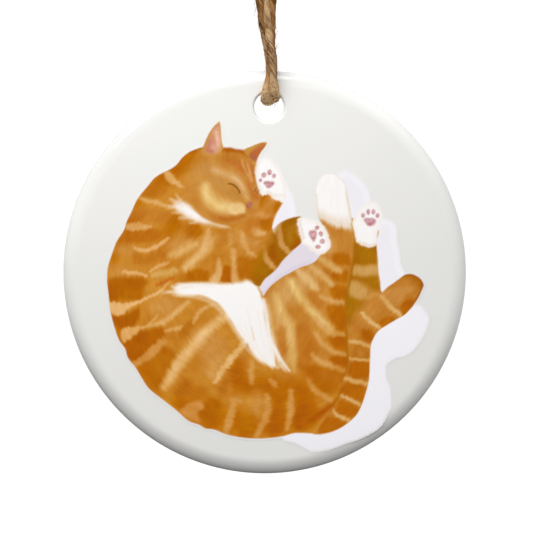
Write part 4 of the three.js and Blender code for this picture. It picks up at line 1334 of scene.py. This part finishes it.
def film_sheet(canvas, shape):
    """The cells inside the painting's margin, with their outer points drawn onto a smooth outline."""
    reach = canvas.reach.reshape(shape) - FILM_MARGIN
    slope = np.gradient(reach, FILM_CELL)
    x, z = canvas.x.reshape(shape).copy(), canvas.z.reshape(shape).copy()
    near = np.abs(reach) < FILM_SNAP
    x[near] -= (reach * slope[1])[near]
    z[near] -= (reach * slope[0])[near]
    kept = reach < FILM_SNAP
    cell = kept[:-1, :-1] & kept[1:, :-1] & kept[:-1, 1:] & kept[1:, 1:]
    number = np.arange(x.size).reshape(shape)
    quads = np.stack([number[:-1, :-1], number[:-1, 1:], number[1:, 1:], number[1:, :-1]], -1)[cell]
    used, faces = np.unique(quads, return_inverse=True)
    return used, faces.reshape(quads.shape), x.ravel()[used], z.ravel()[used]


def film_edge(faces):
    """The sheet's outline: its edges that only one cell has, joined up from point to point."""
    edges = {(face[i - 1], face[i]) for face in faces for i in range(4)}
    following = {a: b for a, b in edges if (b, a) not in edges}
    edge = [min(following)]
    while following[edge[-1]] != edge[0]:
        edge.append(following[edge[-1]])
    return edge


def close_film(faces, edge, count):
    """Walls round the sheet's edge and a plain back; the back's points are numbered from count on."""
    back = range(count, count + len(edge))
    walls = [[edge[i], edge[i - 1], back[i - 1], back[i]] for i in range(len(edge))]
    return [*faces, *walls, list(back)[::-1]]


def add_print(look):
    canvas, shape = film_grid()
    used, faces, x, z = film_sheet(canvas, shape)
    faces = faces.tolist()
    edge = film_edge(faces)
    faces = close_film(faces, edge, len(used))
    # the back's points lie straight behind the edge's and have the same paint
    depth = np.append(np.full(len(x), FILM_FRONT), np.full(len(edge), FILM_BACK))
    used, x, z = (np.append(values, values[edge]) for values in (used, x, z))
    points = np.stack([x, -HALF_THICK - depth, z], 1)
    piece = make_piece("cat_picture", points, faces, look)
    colours = np.maximum(linear(canvas.rgb[used]) - PRINT_GLEAM, 0)
    # painted light: the ink's colours are made lighter towards the bottom, where less studio light reaches
    # them
    level = np.minimum(PRINT_LEVEL - z * PRINT_PAINTED_LIGHT_DOWN, PRINT_BRIGHTEST / colours.max(axis=1))
    colours *= level[:, None]
    colours = np.hstack([colours, np.ones((len(used), 1))])
    store(piece, "paint", "FLOAT_COLOR", colours)
    store(piece, "cover", "FLOAT", canvas.cover[used])
    tint = (canvas.rgb[used, 0] - canvas.rgb[used, 2]) / 100
    store(piece, "hairy", "FLOAT", np.clip(tint, WHITE_HAIRS, 1))
    store(piece, "fur", "FLOAT_VECTOR", np.column_stack([canvas.fur[used], np.zeros(len(used))]))
    piece.data.polygons.foreach_set("use_smooth", [False] * len(piece.data.polygons))
    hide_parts("cat_print")
    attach(piece, "ornament")


# ---- studio ----
# Sizes in metres. The floor lies this far under the object, and reaches this far to each side:
FLOOR_DROP = 0.9
FLOOR_HALF = 11.0  # it ends just under the camera's view, so that only the backdrop shows behind the disc


def add_floor():
    low, half = CAD_BOX[0][2] - FLOOR_DROP, FLOOR_HALF
    mesh = bpy.data.meshes.new("floor")
    corners = [(-half, -half, low), (half, -half, low), (half, half, low), (-half, half, low)]
    mesh.from_pydata(corners, [], [[0, 1, 2, 3]])
    look = Look("floor_paint")
    where = look.node("TexCoord").outputs["Object"]
    look.set(Base_Color=look.ramp(look.noise(where, 3.0), (0.3, (232, 232, 230)), (0.7, (236, 236, 234))))
    look.set(Roughness=0.8)
    mesh.materials.append(look.material)
    floor = bpy.data.objects.new("floor", mesh)
    bpy.context.scene.collection.objects.link(floor)
    # The floor is far off and seen only from above; it throws no light onto the disc's underside.
    floor.visible_diffuse = False
    floor.visible_glossy = False


# Brightness straight behind the disc, around that, in front of it and straight below.
BACKDROP = 1.06
BACK_SIDES = 0.8
FRONT_FILL = 0.96
UNDERSIDE = 0.08
# Where each brightness passes into the next, by how far backwards or upwards one looks, from -1 to 1.
BACKDROP_EDGE = (0.985, 0.9945)
FILL_EDGE = (-0.6, 0.5)
SHADE_EDGE = (-0.5, -0.08)


def add_world():
    """A white backdrop, a softer fill from the front, and shade below, where the rim turns under."""
    world = bpy.data.worlds.new("studio")
    world.use_nodes = True
    bpy.context.scene.world = world
    tree = world.node_tree

    def node(kind, **inputs):
        made = tree.nodes.new("ShaderNode" + kind)
        for key, value in inputs.items():
            socket = made.inputs[key.replace("_", " ")]
            if isinstance(value, bpy.types.NodeSocket):
                tree.links.new(value, socket)
            else:
                socket.default_value = value
        return made

    def between(value, edge, low, high):
        return node("MapRange", Value=value, From_Min=edge[0], From_Max=edge[1], To_Min=low, To_Max=high)

    where = node("TexCoord").outputs["Generated"]
    way = node("SeparateXYZ", Vector=where).outputs
    level = between(way["Y"], FILL_EDGE, FRONT_FILL, BACK_SIDES)
    shade = between(way["Z"], SHADE_EDGE, UNDERSIDE, 1.0)
    shade.interpolation_type = "SMOOTHSTEP"
    both = node("Math")
    both.operation = "MULTIPLY"
    tree.links.new(level.outputs[0], both.inputs[0])
    tree.links.new(shade.outputs[0], both.inputs[1])
    behind = between(way["Y"], BACKDROP_EDGE, 0.0, BACKDROP)
    strength = node("Math")
    strength.operation = "MAXIMUM"
    tree.links.new(both.outputs[0], strength.inputs[0])
    tree.links.new(behind.outputs[0], strength.inputs[1])
    background = tree.nodes["Background"]
    background.inputs["Color"].default_value = (1, 1, 1, 1)
    tree.links.new(strength.outputs[0], background.inputs["Strength"])


def add_lamp(name, at, size, watts, aim=(0, 0, 0)):
    """A soft rectangular lamp; its place, size and aim are in millimetres from the disc's centre."""
    data = bpy.data.lights.new(name, "AREA")
    data.shape = "RECTANGLE"
    data.size, data.size_y = size[0] * MM, size[1] * MM
    data.energy = watts
    lamp = bpy.data.objects.new(name, data)
    spot = Vector(place(*at))
    lamp.location = spot
    lamp.rotation_euler = (Vector(place(*aim)) - spot).to_track_quat("-Z", "Y").to_euler()
    bpy.context.scene.collection.objects.link(lamp)


def add_lights():
    add_lamp("key", (-45, -80, 125), (120, 120), 0.171, (0, 0, 10))
    add_lamp("left_strip", (-240, -560, 0), (12, 260), 0.015)


bpy.context.scene.view_settings.view_transform = "Standard"
add_camera()
jute = jute_look()
glaze = glaze_look()
add_twine(jute)
add_disc(glaze)
add_print(print_look())
add_floor()
add_world()
add_lights()
bpy.context.view_layer.update()
